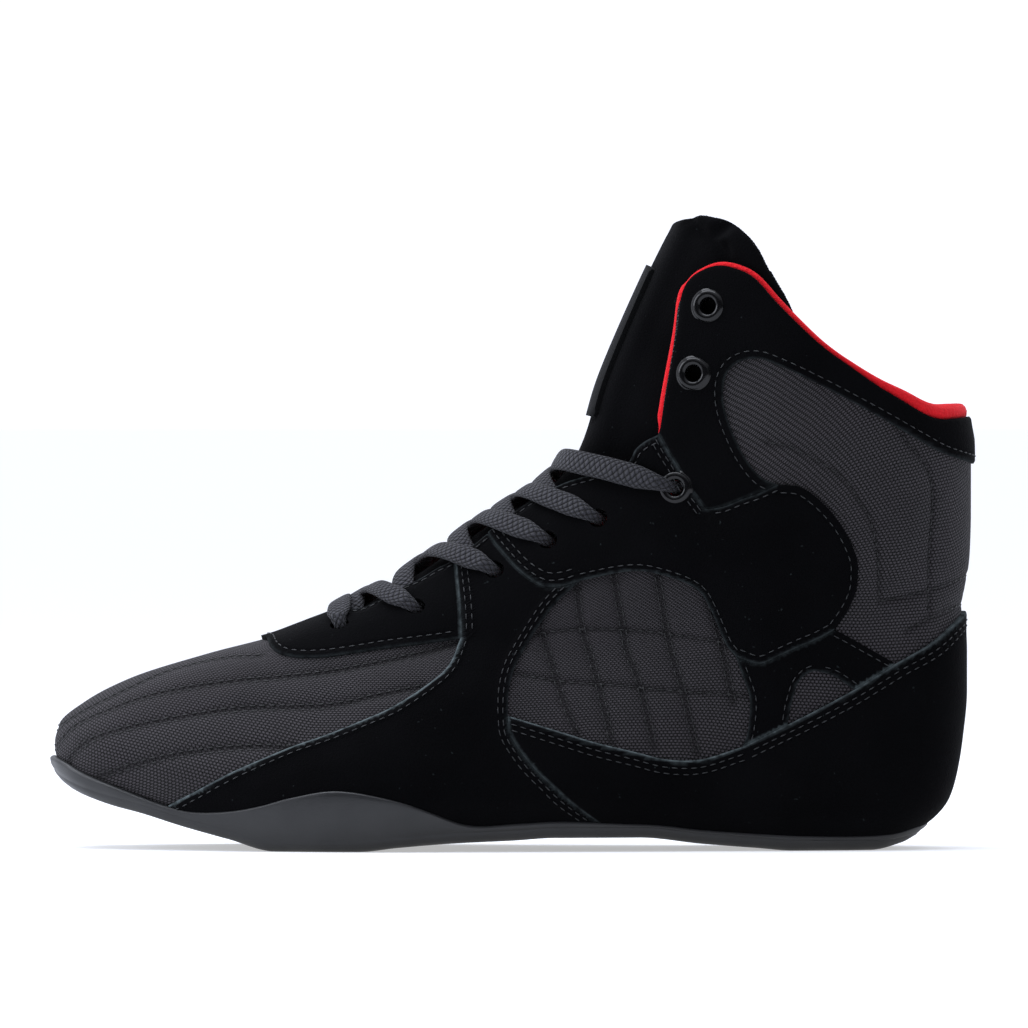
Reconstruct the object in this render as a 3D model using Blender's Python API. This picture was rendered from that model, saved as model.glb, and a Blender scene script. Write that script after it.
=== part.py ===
"""Left wrestling shoe: canvas upper with suede overlays on a thin rubber cup sole.

The toe points to -X, the outer (little toe) side to -Y, and the origin is the flat spot
under the heel. Every piece is worked out from one form, the outside of the canvas upper.
"""
import math

import bmesh
import bpy
import numpy as np
from mathutils import Matrix, Vector

MM = 0.001

# Driving sizes of the shoe, in metres
LENGTH = 292 * MM           # toe tip to the back of the collar
HEIGHT = 200 * MM           # floor to the top of the tongue
BALL_WIDTH = 97 * MM        # canvas upper at its widest
HEEL_WIDTH = 66 * MM
COLLAR_WIDTH = 77 * MM
WALL = 2.5 * MM             # canvas, foam and lining together
SUEDE = 1.2 * MM            # thickness of an overlay
CLEARANCE = 0.3 * MM        # between pieces that touch
SOLE_FLOOR = 3.5 * MM
SOLE_SIDE = 1.9 * MM        # thickness of the cup's side
SOLE_EDGE = 2.5 * MM        # how far the bottom edge is rounded in
INSOLE = 3.0 * MM
TONGUE = 4.0 * MM
PLATE = 1.5 * MM
PLATE_WIDTH = 26 * MM
HOLE_RADIUS = 2.6 * MM      # punched lace holes
EYELET_FLANGE = 5.6 * MM    # outer radius of a metal eyelet
EYELET_BARREL = 3.0 * MM    # outer radius of its barrel
EYELET_BORE = 2.4 * MM
EYELET_LIP = 0.8 * MM       # thickness of the flange
LACE_WIDTH = 7.5 * MM
LACE_THICK = 1.8 * MM
LACE_DIVE = 3.0 * MM        # how far a lace sinks into the throat at its far end

# Where the origin lies along the shoe, as a share of LENGTH from the toe
HEEL_REST = 0.852

# How finely the form is divided
AROUND = 36
LEVELS = (0, 0.04, 0.10, 0.19, 0.31, 0.43, 0.52, 0.61, 0.70, 0.78, 0.86, 0.95, 1.06, 1.25)
SOLE_LEVELS = 5             # levels of the form that the cup's side follows

# Tables give u, percent of LENGTH from the toe, and v, percent of HEIGHT from the floor.
# Front and back lines of the form: level, front u, front v, back u, back v
PROFILE = (
    (0.00, 0.8, 12.3, 93.8, 4.1),
    (0.05, 0.1, 15.6, 95.4, 6.0),
    (0.12, 0.5, 19.1, 96.6, 8.6),
    (0.20, 3.4, 22.9, 97.4, 12.6),
    (0.30, 8.5, 26.8, 98.0, 18.2),
    (0.40, 16.6, 30.6, 98.4, 25.0),
    (0.50, 25.4, 34.1, 98.4, 32.9),
    (0.60, 35.0, 40.3, 98.6, 39.2),
    (0.70, 46.0, 50.8, 99.3, 45.0),
    (0.80, 55.3, 60.8, 99.5, 53.4),
    (0.90, 58.6, 75.0, 99.5, 62.1),
    (1.00, 63.8, 92.4, 98.9, 70.0),
    (1.12, 66.2, 99.4, 98.6, 76.0),
    (1.25, 68.6, 106.5, 98.4, 84.0),
)

# Half widths of the form as percent of its reference width, at stations from front to back
STATIONS = (0.0, 0.1, 0.3, 0.5, 0.7, 0.9, 1.0)
WIDTHS = (
    # level, front, toe, ball, waist, arch, heel, back
    (0.00, 57.7, 51.1, 53.6, 43.6, 42.0, 65.1, 86.4),
    (0.12, 66.0, 58.6, 59.1, 50.3, 48.5, 73.5, 93.9),
    (0.30, 59.8, 50.6, 50.4, 44.2, 45.7, 66.3, 86.4),
    (0.50, 50.1, 44.9, 38.8, 38.2, 47.0, 58.7, 73.6),
    (0.70, 50.5, 42.6, 41.3, 43.7, 47.0, 50.8, 54.8),
    (0.90, 66.0, 49.1, 46.8, 48.7, 49.6, 51.0, 53.2),
    (1.00, 70.0, 50.8, 48.1, 50.0, 50.6, 51.9, 53.9),
    (1.12, 68.0, 50.1, 49.4, 51.3, 51.9, 52.6, 54.5),
)

# Sideways bend of the foot: station, shift to the inner side as percent of BALL_WIDTH
BEND = (
    (0.00, 10.3),
    (0.15, 6.6),
    (0.35, -1.0),
    (0.60, -4.6),
    (0.87, -0.5),
    (1.00, 0.0),
)

# Underside of the sole, flat under the ball and under the heel: u, v
UNDERSIDE = (
    (0.0, 13.0), (0.9, 10.6), (2.8, 8.7), (6.0, 7.0), (9.5, 5.7), (13.8, 3.8), (19.2, 1.7),
    (23.8, 0.0), (33.5, 0.0), (37.6, 0.6), (44.0, 1.3), (50.0, 1.7), (54.6, 2.1), (63.7, 2.1),
    (70.2, 1.1), (76.4, 0.4), (80.0, 0.0), (89.0, 0.0), (92.0, 0.9), (93.6, 2.1), (95.5, 4.2),
)

# Top edge of the sole's side, with its wave at the ball: u, v
RIM = (
    (-4.0, 14.8), (-0.1, 14.6), (1.4, 13.7), (3.8, 11.8), (7.0, 10.0), (9.9, 8.4), (12.7, 7.0),
    (15.6, 6.2), (19.2, 6.3), (22.7, 7.1), (26.2, 8.4), (31.1, 9.4), (36.9, 8.1), (40.5, 6.6),
    (44.0, 4.7), (46.5, 4.2), (50.4, 4.6), (55.6, 4.9), (65.0, 4.3), (70.0, 3.5), (77.4, 2.8),
    (84.7, 2.6), (90.0, 2.9), (93.0, 4.0), (94.7, 4.6), (99.0, 5.2),
)

# Seams between the overlays, in the side view: u, v along each
SEAMS = {
    "throat": (
        (29.2, 38.6), (31.3, 37.8), (33.4, 37.6), (35.4, 38.9), (38.3, 41.2), (40.0, 42.4), (41.9, 44.1),
        (43.5, 45.3), (45.9, 47.9), (48.2, 50.6), (51.7, 54.2), (54.6, 56.7), (56.6, 58.1),
        (60.0, 59.7), (62.4, 61.0), (63.7, 63.3), (65.8, 65.7)),
    "collar": (
        (65.8, 65.7), (66.6, 72.7), (67.7, 81.5), (68.2, 87.8), (69.1, 90.4), (70.7, 91.9),
        (72.3, 92.6), (74.1, 92.1), (76.0, 90.7), (78.3, 86.9), (80.6, 83.4), (83.2, 79.9),
        (85.9, 77.1), (89.3, 73.6), (92.7, 70.8), (95.3, 69.5), (97.8, 69.5), (103.0, 69.2)),
    "toe_stay": (
        (23.3, 32.9), (23.9, 31.6), (25.1, 30.6), (27.2, 30.2), (30.0, 30.4), (32.9, 31.0),
        (36.4, 31.8), (40.1, 32.5), (44.3, 33.4)),
    "front_upper": ((43.6, 49.5), (43.8, 45.3), (44.0, 42.1), (44.2, 38.2), (44.3, 33.4)),
    "front_lower": (
        (44.3, 33.4), (43.0, 29.1), (40.5, 25.9), (36.9, 22.6), (33.4, 20.3), (29.8, 18.2),
        (26.2, 16.4), (22.7, 14.3), (19.1, 12.0), (15.6, 9.4), (12.7, 7.1), (9.8, 4.0)),
    "back_upper": (
        (57.1, 42.5), (54.6, 39.1), (53.0, 36.1), (51.3, 32.2), (50.0, 28.6), (49.4, 25.0), (49.3, 21.3)),
    "back_lower": (
        (49.3, 21.3), (49.6, 18.3), (50.9, 15.3), (52.5, 12.6), (54.6, 9.8), (58.4, 5.6), (61.0, 2.5)),
    "saddle_lower": (
        (46.3, 52.5), (47.8, 48.7), (49.2, 46.2), (50.5, 44.2), (52.0, 42.5), (53.6, 41.5),
        (55.5, 41.7), (57.1, 42.5)),
    "window_top": (
        (57.1, 42.5), (60.8, 43.7), (63.5, 44.1), (66.0, 43.5), (68.7, 42.2), (70.2, 40.7),
        (71.2, 38.2), (72.0, 35.5), (72.9, 32.5), (73.9, 30.7)),
    "circle_lower": ((73.9, 30.7), (76.4, 29.6), (78.5, 30.8), (80.6, 32.2), (82.6, 33.4), (84.5, 34.9)),
    "circle_upper": (
        (84.5, 34.9), (85.9, 37.9), (86.8, 41.0), (87.0, 43.6), (86.9, 46.2), (85.8, 50.1),
        (84.3, 53.3), (82.5, 55.9), (80.7, 57.5), (78.4, 57.8)),
    "saddle_upper": ((78.4, 57.8), (76.2, 56.3), (74.5, 55.4), (72.7, 54.3), (70.8, 53.8)),
    "tab_back": ((70.8, 53.8), (69.1, 57.2), (67.8, 60.6), (66.7, 63.2), (65.8, 65.6), (64.6, 68.0)),
    "collar_lower": (
        (104.0, 58.5), (100.2, 60.6), (96.3, 62.6), (93.7, 64.7), (88.9, 68.8), (82.8, 73.6),
        (78.0, 76.9), (75.9, 77.6), (74.1, 76.9), (73.0, 75.2), (72.6, 72.6), (72.8, 69.5),
        (73.7, 65.7), (75.0, 61.9), (76.7, 58.9), (78.4, 57.8)),
    "counter_back": ((104.0, 43.0), (98.9, 37.6), (95.1, 32.8), (91.1, 29.4)),
    "counter_stay": ((91.1, 29.4), (86.8, 25.5), (82.6, 22.2), (78.5, 19.2), (74.6, 16.4)),
    "counter_front": (
        (74.6, 16.4), (70.2, 14.5), (66.4, 14.5), (62.9, 15.7), (58.8, 17.1), (54.6, 18.9), (49.3, 21.3)),
    "stay_left": ((73.9, 30.7), (74.7, 27.4), (75.4, 24.3), (75.4, 21.3), (75.1, 18.3), (74.6, 16.4)),
    "stay_upper": ((84.5, 34.9), (86.4, 33.4), (88.9, 31.3), (91.1, 29.4)),
    "small_window": (
        (79.0, 17.0), (79.5, 20.1), (79.9, 23.4), (80.6, 26.5), (82.4, 28.4), (84.3, 27.7),
        (85.9, 26.2), (87.6, 24.4)),
    "tongue_top": (
        (79.6, 84.0), (79.4, 86.6), (77.8, 90.5), (76.4, 94.8), (74.7, 97.6), (72.3, 99.4),
        (70.2, 100.0), (68.0, 99.4), (66.5, 97.6), (65.2, 95.0), (62.0, 93.0)),
    "tongue_edge": (
        (27.5, 35.5), (29.5, 33.5), (34.0, 34.5), (40.0, 36.5), (46.0, 40.0), (53.0, 46.0),
        (60.0, 53.5), (67.0, 63.0), (73.0, 71.0), (79.6, 84.0)),
    "plate": ((58.3, 68.5), (65.3, 91.8)),
}

# Seams that turn sharply, and get a point more between each two
ROUND_SEAMS = ("circle_upper", "collar_lower", "tongue_top")

# Each overlay's outline: its seams in order, then free corners clear of the form
PANELS = {
    "toe_eyestay": (("toe_stay", "-front_upper"), ((38.0, 53.0), (24.0, 44.0), (22.4, 37.0))),
    "side_overlay": (
        ("-saddle_lower", "front_upper", "front_lower", "", "-back_lower", "-back_upper"),
        ((9.0, -4.0), (62.0, -4.0))),
    "saddle": (
        ("saddle_lower", "window_top", "circle_lower", "circle_upper", "saddle_upper", "tab_back"),
        ((62.0, 66.0), (56.0, 61.5), (50.0, 57.0))),
    "ankle_stay": (("circle_lower", "stay_upper", "counter_stay", "-stay_left"), ()),
    "heel_counter": (
        ("counter_back", "counter_stay", "counter_front", "back_lower"), ((62.0, -4.0), (106.0, -4.0))),
    "collar_cuff": (
        ("collar_lower", "saddle_upper", "tab_back"), ((60.0, 76.0), (62.0, 109.0), (106.0, 109.0))),
}
SIDED_PANELS = ("side_overlay", "saddle", "ankle_stay")

# Lace rows from the toe up: u, v of the hole, and whether it has a metal eyelet
LACE_ROWS = (
    (31.3, 35.0, False),
    (39.5, 38.0, False),
    (48.0, 44.0, False),
    (53.8, 48.7, False),
    (59.2, 52.2, False),
    (67.5, 57.2, True),
    (69.5, 75.2, True),
    (71.1, 85.8, True),
)
# Where the lace to each laced row crosses the shoe's middle: u
LACE_CROSSINGS = (31.6, 35.2, 41.4, 46.6, 51.6, 56.0)

# Sides of the shoe: outer is -Y
SIDES = {"outer": -1, "inner": 1}


def smooth_curve(rows):
    """Curve through a table whose first column rises, without overshoot; other columns are values."""
    table = np.array(rows, dtype=float)
    at, values = table[:, 0], table[:, 1:]
    steps = np.diff(at)
    slopes = np.diff(values, axis=0) / steps[:, None]
    tangents = np.zeros_like(values)
    tangents[0], tangents[-1] = slopes[0], slopes[-1]
    before, after = slopes[:-1], slopes[1:]
    same_way = before * after > 0
    total = np.where(same_way, before + after, 1.0)
    tangents[1:-1] = np.where(same_way, 2 * before * after / total, 0.0)

    def value(where):
        where = np.clip(np.atleast_1d(np.asarray(where, dtype=float)), at[0], at[-1])
        k = np.clip(np.searchsorted(at, where, side="right") - 1, 0, len(steps) - 1)
        h = steps[k][:, None]
        s = ((where - at[k]) / steps[k])[:, None]
        return (values[k] * (1 + 2 * s) * (1 - s) ** 2 + tangents[k] * h * s * (1 - s) ** 2
                + values[k + 1] * s * s * (3 - 2 * s) + tangents[k + 1] * h * s * s * (s - 1))
    return value


def fade(low, high, value):
    """0 below low, 1 above high, smooth between."""
    share = np.clip((value - low) / (high - low), 0, 1)
    return share * share * (3 - 2 * share)


PROFILE_AT = smooth_curve(PROFILE)
WIDTHS_AT = smooth_curve(WIDTHS)
BEND_AT = smooth_curve(BEND)
UNDERSIDE_AT = smooth_curve(UNDERSIDE)


def place_x(u):
    """World x of a share of the length."""
    return (u / 100 - HEEL_REST) * LENGTH


def place_z(v):
    """World z of a share of the height."""
    return v / 100 * HEIGHT


def ring(level, angle):
    """Points of the form at a level; angle is 0 at the front, and negative on the outer side."""
    front_u, front_v, back_u, back_v = PROFILE_AT(level)[0]
    low_front_u, low_front_v, low_back_u, low_back_v = PROFILE_AT(0)[0]
    station = (1 - np.cos(angle)) / 2
    low_u = low_front_u + (low_back_u - low_front_u) * station
    feather = place_z(UNDERSIDE_AT(low_u)[:, 0]) + SOLE_FLOOR
    low_line = place_z(low_front_v + (low_back_v - low_front_v) * station)
    x = place_x(front_u + (back_u - front_u) * station)
    z = place_z(front_v + (back_v - front_v) * station)
    z = z + (feather - low_line) * (1 - fade(0, 0.45, level))
    shares = smooth_curve(np.column_stack((STATIONS, WIDTHS_AT(level)[0])))(station)[:, 0] / 100
    shaft = fade(0.45, 0.8, level)
    foot_width = BALL_WIDTH + (HEEL_WIDTH - BALL_WIDTH) * station
    half = shares * (foot_width * (1 - shaft) + COLLAR_WIDTH * shaft)
    bend = BEND_AT(station)[:, 0] / 100 * BALL_WIDTH * (1 - fade(0.2, 0.75, level))
    return np.column_stack((x, bend + half * np.sin(angle), z))


def lifted_ring(level, angle, lift):
    """Points of the form moved out along its normals; at the lowest level they move level."""
    tiny = 1e-3
    here = ring(level, angle)
    up = ring(min(level + tiny, LEVELS[-1]), angle) - ring(max(level - tiny, 0), angle)
    along = ring(level, angle + tiny) - ring(level, angle - tiny)
    normal = np.cross(along, up)
    middle = ring(level, np.array([0, math.pi])).mean(axis=0)
    if np.sum(normal * (here - middle)) < 0:
        normal = -normal
    if level == 0:
        normal[:, 2] = 0
    normal /= np.linalg.norm(normal, axis=1)[:, None]
    return here + normal * lift


def angles():
    return np.arange(AROUND) * 2 * math.pi / AROUND


def find_on_form(u, v):
    """Level and angle of the form's point that the side view shows at u, v."""
    low, high = 0.0, LEVELS[-1]
    for _ in range(40):
        level = (low + high) / 2
        front_u, _, back_u, _ = PROFILE_AT(level)[0]
        station = min(max((u - front_u) / (back_u - front_u), 0.0), 1.0)
        angle = math.acos(1 - 2 * station)
        if ring(level, np.array([angle]))[0, 2] < place_z(v):
            low = level
        else:
            high = level
    return level, angle


def new_object(name, bm):
    bmesh.ops.recalc_face_normals(bm, faces=bm.faces)
    mesh = bpy.data.meshes.new(name)
    bm.to_mesh(mesh)
    bm.free()
    thing = bpy.data.objects.new(name, mesh)
    bpy.context.scene.collection.objects.link(thing)
    return thing


def drop(*things):
    for thing in things:
        bpy.data.objects.remove(thing)


def loft(name, rings):
    """Closed solid through rings of AROUND points; its ends are closed straight across.

    Each four-sided patch is split along the same diagonal, mirrored on the other side, so that
    two forms at different lifts stay parallel.
    """
    bm = bmesh.new()
    rows = [[bm.verts.new(point) for point in points] for points in rings]
    half = AROUND // 2
    for low, high in zip(rows, rows[1:]):
        for i in range(AROUND):
            j = (i + 1) % AROUND
            if i < half:
                bm.faces.new((low[i], low[j], high[j]))
                bm.faces.new((low[i], high[j], high[i]))
            else:
                bm.faces.new((low[i], low[j], high[i]))
                bm.faces.new((low[j], high[j], high[i]))
    for row in (rows[0], rows[-1]):
        bm.faces.new((row[0], row[1], row[-1]))
        bm.faces.new((row[half - 1], row[half], row[half + 1]))
        for i in range(1, half - 1):
            bm.faces.new((row[i], row[i + 1], row[-i - 1], row[-i]))
    return new_object(name, bm)


def form_solid(name, lift, below=0.0, above=0.0):
    """The form as a closed solid, lengthened straight down and straight up where asked."""
    rings = [lifted_ring(level, angles(), lift) for level in LEVELS]
    if below:
        rings.insert(0, rings[0] - (0, 0, below))
    if above:
        rings.append(rings[-1] + (0, 0, above))
    return loft(name, rings)


def smooth_line(points, steps):
    """Points along a smooth line through the given ones, with both ends kept."""
    pts = [np.array(p, dtype=float) for p in points]
    if len(pts) < 3:
        return pts
    padded = [2 * pts[0] - pts[1]] + pts + [2 * pts[-1] - pts[-2]]
    line = []
    for a, b, c, d in zip(padded, padded[1:], padded[2:], padded[3:]):
        for k in range(steps):
            s = k / steps
            line.append(0.5 * (2 * b + (c - a) * s + (2 * a - 5 * b + 4 * c - d) * s * s
                               + (3 * b - a - 3 * c + d) * s ** 3))
    line.append(pts[-1])
    return line


def seam(name):
    """A seam's points; a leading minus turns it round."""
    plain = name.lstrip("-")
    line = smooth_line(SEAMS[plain], 2 if plain in ROUND_SEAMS else 1)
    return line[::-1] if name.startswith("-") else line


def outline(names, corners):
    """Side-view outline in metres from seams in order; an empty name stands for the corners."""
    points = []
    corners = [np.array(corner) for corner in corners]
    for name in names if "" in names else tuple(names) + ("",):
        for point in (seam(name) if name else corners):
            if not points or np.linalg.norm(point - points[-1]) > 1e-6:
                points.append(point)
    if np.linalg.norm(points[0] - points[-1]) < 1e-6:
        points.pop()
    return [(place_x(u), place_z(v)) for u, v in points]


def shrink(points, distance):
    """The outline moved inwards by a distance."""
    pts = np.array(points)
    following = np.roll(pts, -1, axis=0)
    if np.sum(pts[:, 0] * following[:, 1] - following[:, 0] * pts[:, 1]) < 0:
        distance = -distance
    ahead = following - pts
    ahead /= np.linalg.norm(ahead, axis=1)[:, None]
    inward = np.column_stack((-ahead[:, 1], ahead[:, 0]))
    both = inward + np.roll(inward, 1, axis=0)
    square = np.maximum(np.sum(both * both, axis=1), 0.5)[:, None]
    return [tuple(p) for p in pts + both * 2 / square * distance]


def prism(name, points, low=-1.0, high=1.0):
    """Side-view outline extruded across the shoe; low and high are shares of LENGTH."""
    bm = bmesh.new()
    face = bm.faces.new([bm.verts.new((x, low * LENGTH, z)) for x, z in points])
    grown = bmesh.ops.extrude_face_region(bm, geom=[face])["geom"]
    moved = [item for item in grown if isinstance(item, bmesh.types.BMVert)]
    bmesh.ops.translate(bm, verts=moved, vec=(0, (high - low) * LENGTH, 0))
    return new_object(name, bm)


def carve(solid, cutter, operation="DIFFERENCE"):
    """Apply one Boolean to the solid."""
    step = solid.modifiers.new("carve", "BOOLEAN")
    step.object = cutter
    step.operation = operation
    step.solver = "EXACT"
    bpy.context.view_layer.update()
    shaped = solid.evaluated_get(bpy.context.evaluated_depsgraph_get())
    mesh = bpy.data.meshes.new_from_object(shaped)
    solid.modifiers.clear()
    solid.data = mesh


def copy_of(solid, name):
    thing = bpy.data.objects.new(name, solid.data.copy())
    bpy.context.scene.collection.objects.link(thing)
    return thing


def rim_prism(name, above, shift):
    """All that the side view shows above, or below, the sole's top edge moved up by shift."""
    line = [(place_x(u), place_z(v) + shift) for u, v in smooth_line(RIM, 1)]
    far = place_z(160) if above else place_z(-30)
    return prism(name, line + [(line[-1][0], far), (line[0][0], far)])


def opening_prism():
    """The throat and the collar's opening, with all above them."""
    return prism("opening", outline(("throat", "collar"), ((104, 125), (15, 125), (26, 48))))


def frame_at(u, v, side):
    """Point, outward normal and level of the form at a side-view place."""
    level, angle = find_on_form(u, v)
    spot = np.array([side * angle])
    point = ring(level, spot)[0]
    out = lifted_ring(level, spot, 1.0)[0] - point
    return Vector(point), Vector(out), level, side * angle


def turned(profile, segments=9):
    """Closed ring turned about Z from (radius, height) corners, as a bmesh."""
    bm = bmesh.new()
    verts = [bm.verts.new((radius, 0, height)) for radius, height in profile]
    edges = [bm.edges.new((a, b)) for a, b in zip(verts, verts[1:] + verts[:1])]
    bmesh.ops.spin(bm, geom=verts + edges, cent=(0, 0, 0), axis=(0, 0, 1), angle=2 * math.pi,
                   steps=segments, use_merge=True)
    bmesh.ops.remove_doubles(bm, verts=bm.verts, dist=1e-6)
    return bm


def hole_cutters():
    """Round pins through every lace hole, as one cutter."""
    bm = bmesh.new()
    depth = 4 * (WALL + SUEDE)
    for u, v, metal in LACE_ROWS:
        for side in SIDES.values():
            point, out, _, _ = frame_at(u, v, side)
            radius = EYELET_BARREL + CLEARANCE if metal else HOLE_RADIUS
            turn = out.to_track_quat("Z", "Y").to_matrix().to_4x4()
            bmesh.ops.create_cone(bm, cap_ends=True, segments=9, radius1=radius, radius2=radius,
                                  depth=depth, matrix=Matrix.Translation(point) @ turn)
    return new_object("holes", bm)


def finish(thing, material, smooth=True):
    """Give a piece its material and its shading."""
    mesh = thing.data
    mesh.materials.clear()
    mesh.materials.append(material)
    if smooth:
        mesh.shade_smooth()
        mesh.set_sharp_from_angle(angle=math.radians(35))


def new_material(name, colour, roughness, metallic=0.0):
    material = bpy.data.materials.new(name)
    material.use_nodes = True
    shader = material.node_tree.nodes["Principled BSDF"]
    shader.inputs["Base Color"].default_value = (*colour, 1)
    shader.inputs["Roughness"].default_value = roughness
    shader.inputs["Metallic"].default_value = metallic
    return material


def make_upper(opening, holes, material):
    """One hollow canvas wall, open at the collar, the throat and underneath."""
    upper = form_solid("upper", 0)
    inside = form_solid("inside", -WALL, below=WALL, above=WALL)
    for cutter in (inside, opening, holes):
        carve(upper, cutter)
    drop(inside)
    finish(upper, material)


def make_outsole(material):
    """Rubber cup: rounded underside, floor, and a side that rises in a wave at the ball."""
    around = angles()
    low = ring(0, around)
    under = low[:, 2] - SOLE_FLOOR
    rings = []
    for lift, rise in ((-SOLE_EDGE, 0.0), (0.6 * SOLE_SIDE, 0.3), (SOLE_SIDE + CLEARANCE, 0.65)):
        points = lifted_ring(0, around, lift)
        points[:, 2] = under + rise * SOLE_FLOOR
        rings.append(points)
    for level in LEVELS[:SOLE_LEVELS]:
        rings.append(lifted_ring(level, around, SOLE_SIDE + CLEARANCE))
    outsole = loft("outsole", rings)
    foot = form_solid("foot", CLEARANCE, below=CLEARANCE)
    above = rim_prism("above_rim", True, 0)
    carve(outsole, above)
    carve(outsole, foot)
    drop(foot, above)
    finish(outsole, material)


def make_insole(material):
    """Flat foam board that fills the floor inside the upper."""
    lowest = lifted_ring(0, angles(), -WALL - CLEARANCE)
    finish(loft("insole", [lowest, lowest + (0, 0, INSOLE)]), material)


def make_overlays(opening, holes, material):
    """Suede pieces, each cut from one sheet that lies on the form."""
    sheet = form_solid("sheet", CLEARANCE + SUEDE, below=WALL)
    under_sheet = form_solid("under_sheet", CLEARANCE, below=2 * WALL, above=WALL)
    sole_band = rim_prism("sole_band", False, CLEARANCE)
    for cutter in (under_sheet, sole_band, opening, holes):
        carve(sheet, cutter)
    window = prism("window", outline(("small_window",), ((87.6, 17.0),)))
    for panel, (names, corners) in PANELS.items():
        edge = shrink(outline(names, corners), CLEARANCE / 2)
        spans = {panel: (-1, 1)}
        if panel in SIDED_PANELS:
            spans = {panel + "_outer": (-1, 0), panel + "_inner": (0, 1)}
        for name, (low, high) in spans.items():
            cutter = prism("panel", edge, low, high)
            piece = copy_of(sheet, name)
            carve(piece, cutter, "INTERSECT")
            if panel == "ankle_stay":
                carve(piece, window)
            drop(cutter)
            finish(piece, material)
    drop(sheet, under_sheet, sole_band, window)


def make_tongue(suede, rubber):
    """Padded sheet bent to a U behind the throat, with a bare plate on its front."""
    outside = -WALL - 2 * CLEARANCE
    tongue = form_solid("tongue", outside)
    behind = form_solid("behind", outside - TONGUE, below=WALL, above=WALL)
    corners = ((59.0, 93.0), (54.0, 75.0), (50.0, 64.0), (35.0, 48.0), (26.0, 40.0))
    shape = prism("shape", outline(("tongue_edge", "tongue_top"), corners))
    carve(tongue, shape, "INTERSECT")
    carve(tongue, behind)
    finish(tongue, suede)
    plate = form_solid("tongue_plate", outside + CLEARANCE + PLATE)
    under = form_solid("under", outside + CLEARANCE, below=WALL, above=WALL)
    (low_u, low_v), (high_u, high_v) = SEAMS["plate"]
    band = [(low_u - 8, low_v + 3), (low_u + 8, low_v - 3), (high_u + 8, high_v - 3), (high_u - 8, high_v + 3)]
    reach = PLATE_WIDTH / 2 / LENGTH
    around = prism("around", [(place_x(u), place_z(v)) for u, v in band], -reach, reach)
    carve(plate, around, "INTERSECT")
    carve(plate, under)
    finish(plate, rubber)
    drop(behind, shape, under, around)


def make_eyelets(material):
    """Turned metal eyelets in the upper three rows, barrel in the hole and flange on the suede."""
    seat = 3 * CLEARANCE + SUEDE
    profile = (
        (EYELET_BORE, -WALL), (EYELET_BARREL, -WALL), (EYELET_BARREL, seat),
        (EYELET_FLANGE, seat), (EYELET_FLANGE - EYELET_LIP / 2, seat + EYELET_LIP),
        (EYELET_BORE, seat + EYELET_LIP))
    for row, (u, v, metal) in enumerate(LACE_ROWS, start=1):
        for side_name, side in SIDES.items():
            if not metal:
                continue
            point, out, _, _ = frame_at(u, v, side)
            bm = turned(profile)
            turn = out.to_track_quat("Z", "Y").to_matrix().to_4x4()
            bmesh.ops.transform(bm, matrix=Matrix.Translation(point) @ turn, verts=bm.verts)
            finish(new_object(f"eyelet_{row}_{side_name}", bm), material)


def ribbon(name, route):
    """Flat lace along a route of (point, normal) stations."""
    bm = bmesh.new()
    rows = []
    for k, (point, out) in enumerate(route):
        before = route[max(k - 1, 0)][0]
        after = route[min(k + 1, len(route) - 1)][0]
        across = out.cross(after - before).normalized() * LACE_WIDTH / 2
        up = out * LACE_THICK / 2
        corners = (point - across - up, point + across - up, point + across + up, point - across + up)
        rows.append([bm.verts.new(corner) for corner in corners])
    for low, high in zip(rows, rows[1:]):
        for i in range(4):
            j = (i + 1) % 4
            bm.faces.new((low[i], low[j], high[j], high[i]))
    bm.faces.new(rows[0])
    bm.faces.new(rows[-1][::-1])
    return new_object(name, bm)


def lace_route(start, crossing, end, span, dive, rise=0.0, stations=8):
    """Stations from one lace hole over the suede, through the crossing, towards another hole."""
    over = 4 * CLEARANCE + SUEDE + LACE_THICK / 2
    levels = np.linspace(0, LEVELS[-1], 200)
    middle = np.interp(crossing, PROFILE_AT(levels)[:, 0][20:], levels[20:])
    route = []
    for share in np.linspace(*span, stations):
        first, last = 2 * (share - 0.5) * (share - 1), 2 * share * (share - 0.5)
        level = start[2] * first + middle * (1 - first - last) + end[2] * last
        angle = np.array([start[3] * first + end[3] * last])
        lift = over - dive * fade(0.5, 0.62, share) + rise * (1 - fade(0.12, 0.32, share))
        point = lifted_ring(level, angle, lift)[0]
        out = lifted_ring(level, angle, lift + 1)[0] - point
        route.append((Vector(point), Vector(out)))
    return route


def make_lace(material):
    """One straight bar at the toe, then five crossings up to the first metal eyelets."""
    laced = LACE_ROWS[:len(LACE_CROSSINGS)]
    holes = [{side: frame_at(u, v, SIDES[side]) for side in SIDES} for u, v, _ in laced]
    first = holes[0]
    bar = ribbon("lace_bar", lace_route(first["outer"], LACE_CROSSINGS[0], first["inner"], (0.0, 1.0), 0.0))
    finish(bar, material)
    for row in range(1, len(laced)):
        near_end, rise = (0.14, EYELET_LIP) if laced[row][2] else (0.0, 0.0)
        halves = []
        for side, other_side in (("outer", "inner"), ("inner", "outer")):
            route = lace_route(holes[row][side], LACE_CROSSINGS[row], holes[row - 1][other_side],
                               (near_end, 0.60), LACE_DIVE, rise)
            halves.append(ribbon(f"lace_cross_{row}" if side == "outer" else "lace_half", route))
        carve(halves[0], halves[1], "UNION")
        drop(halves[1])
        finish(halves[0], material)


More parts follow.
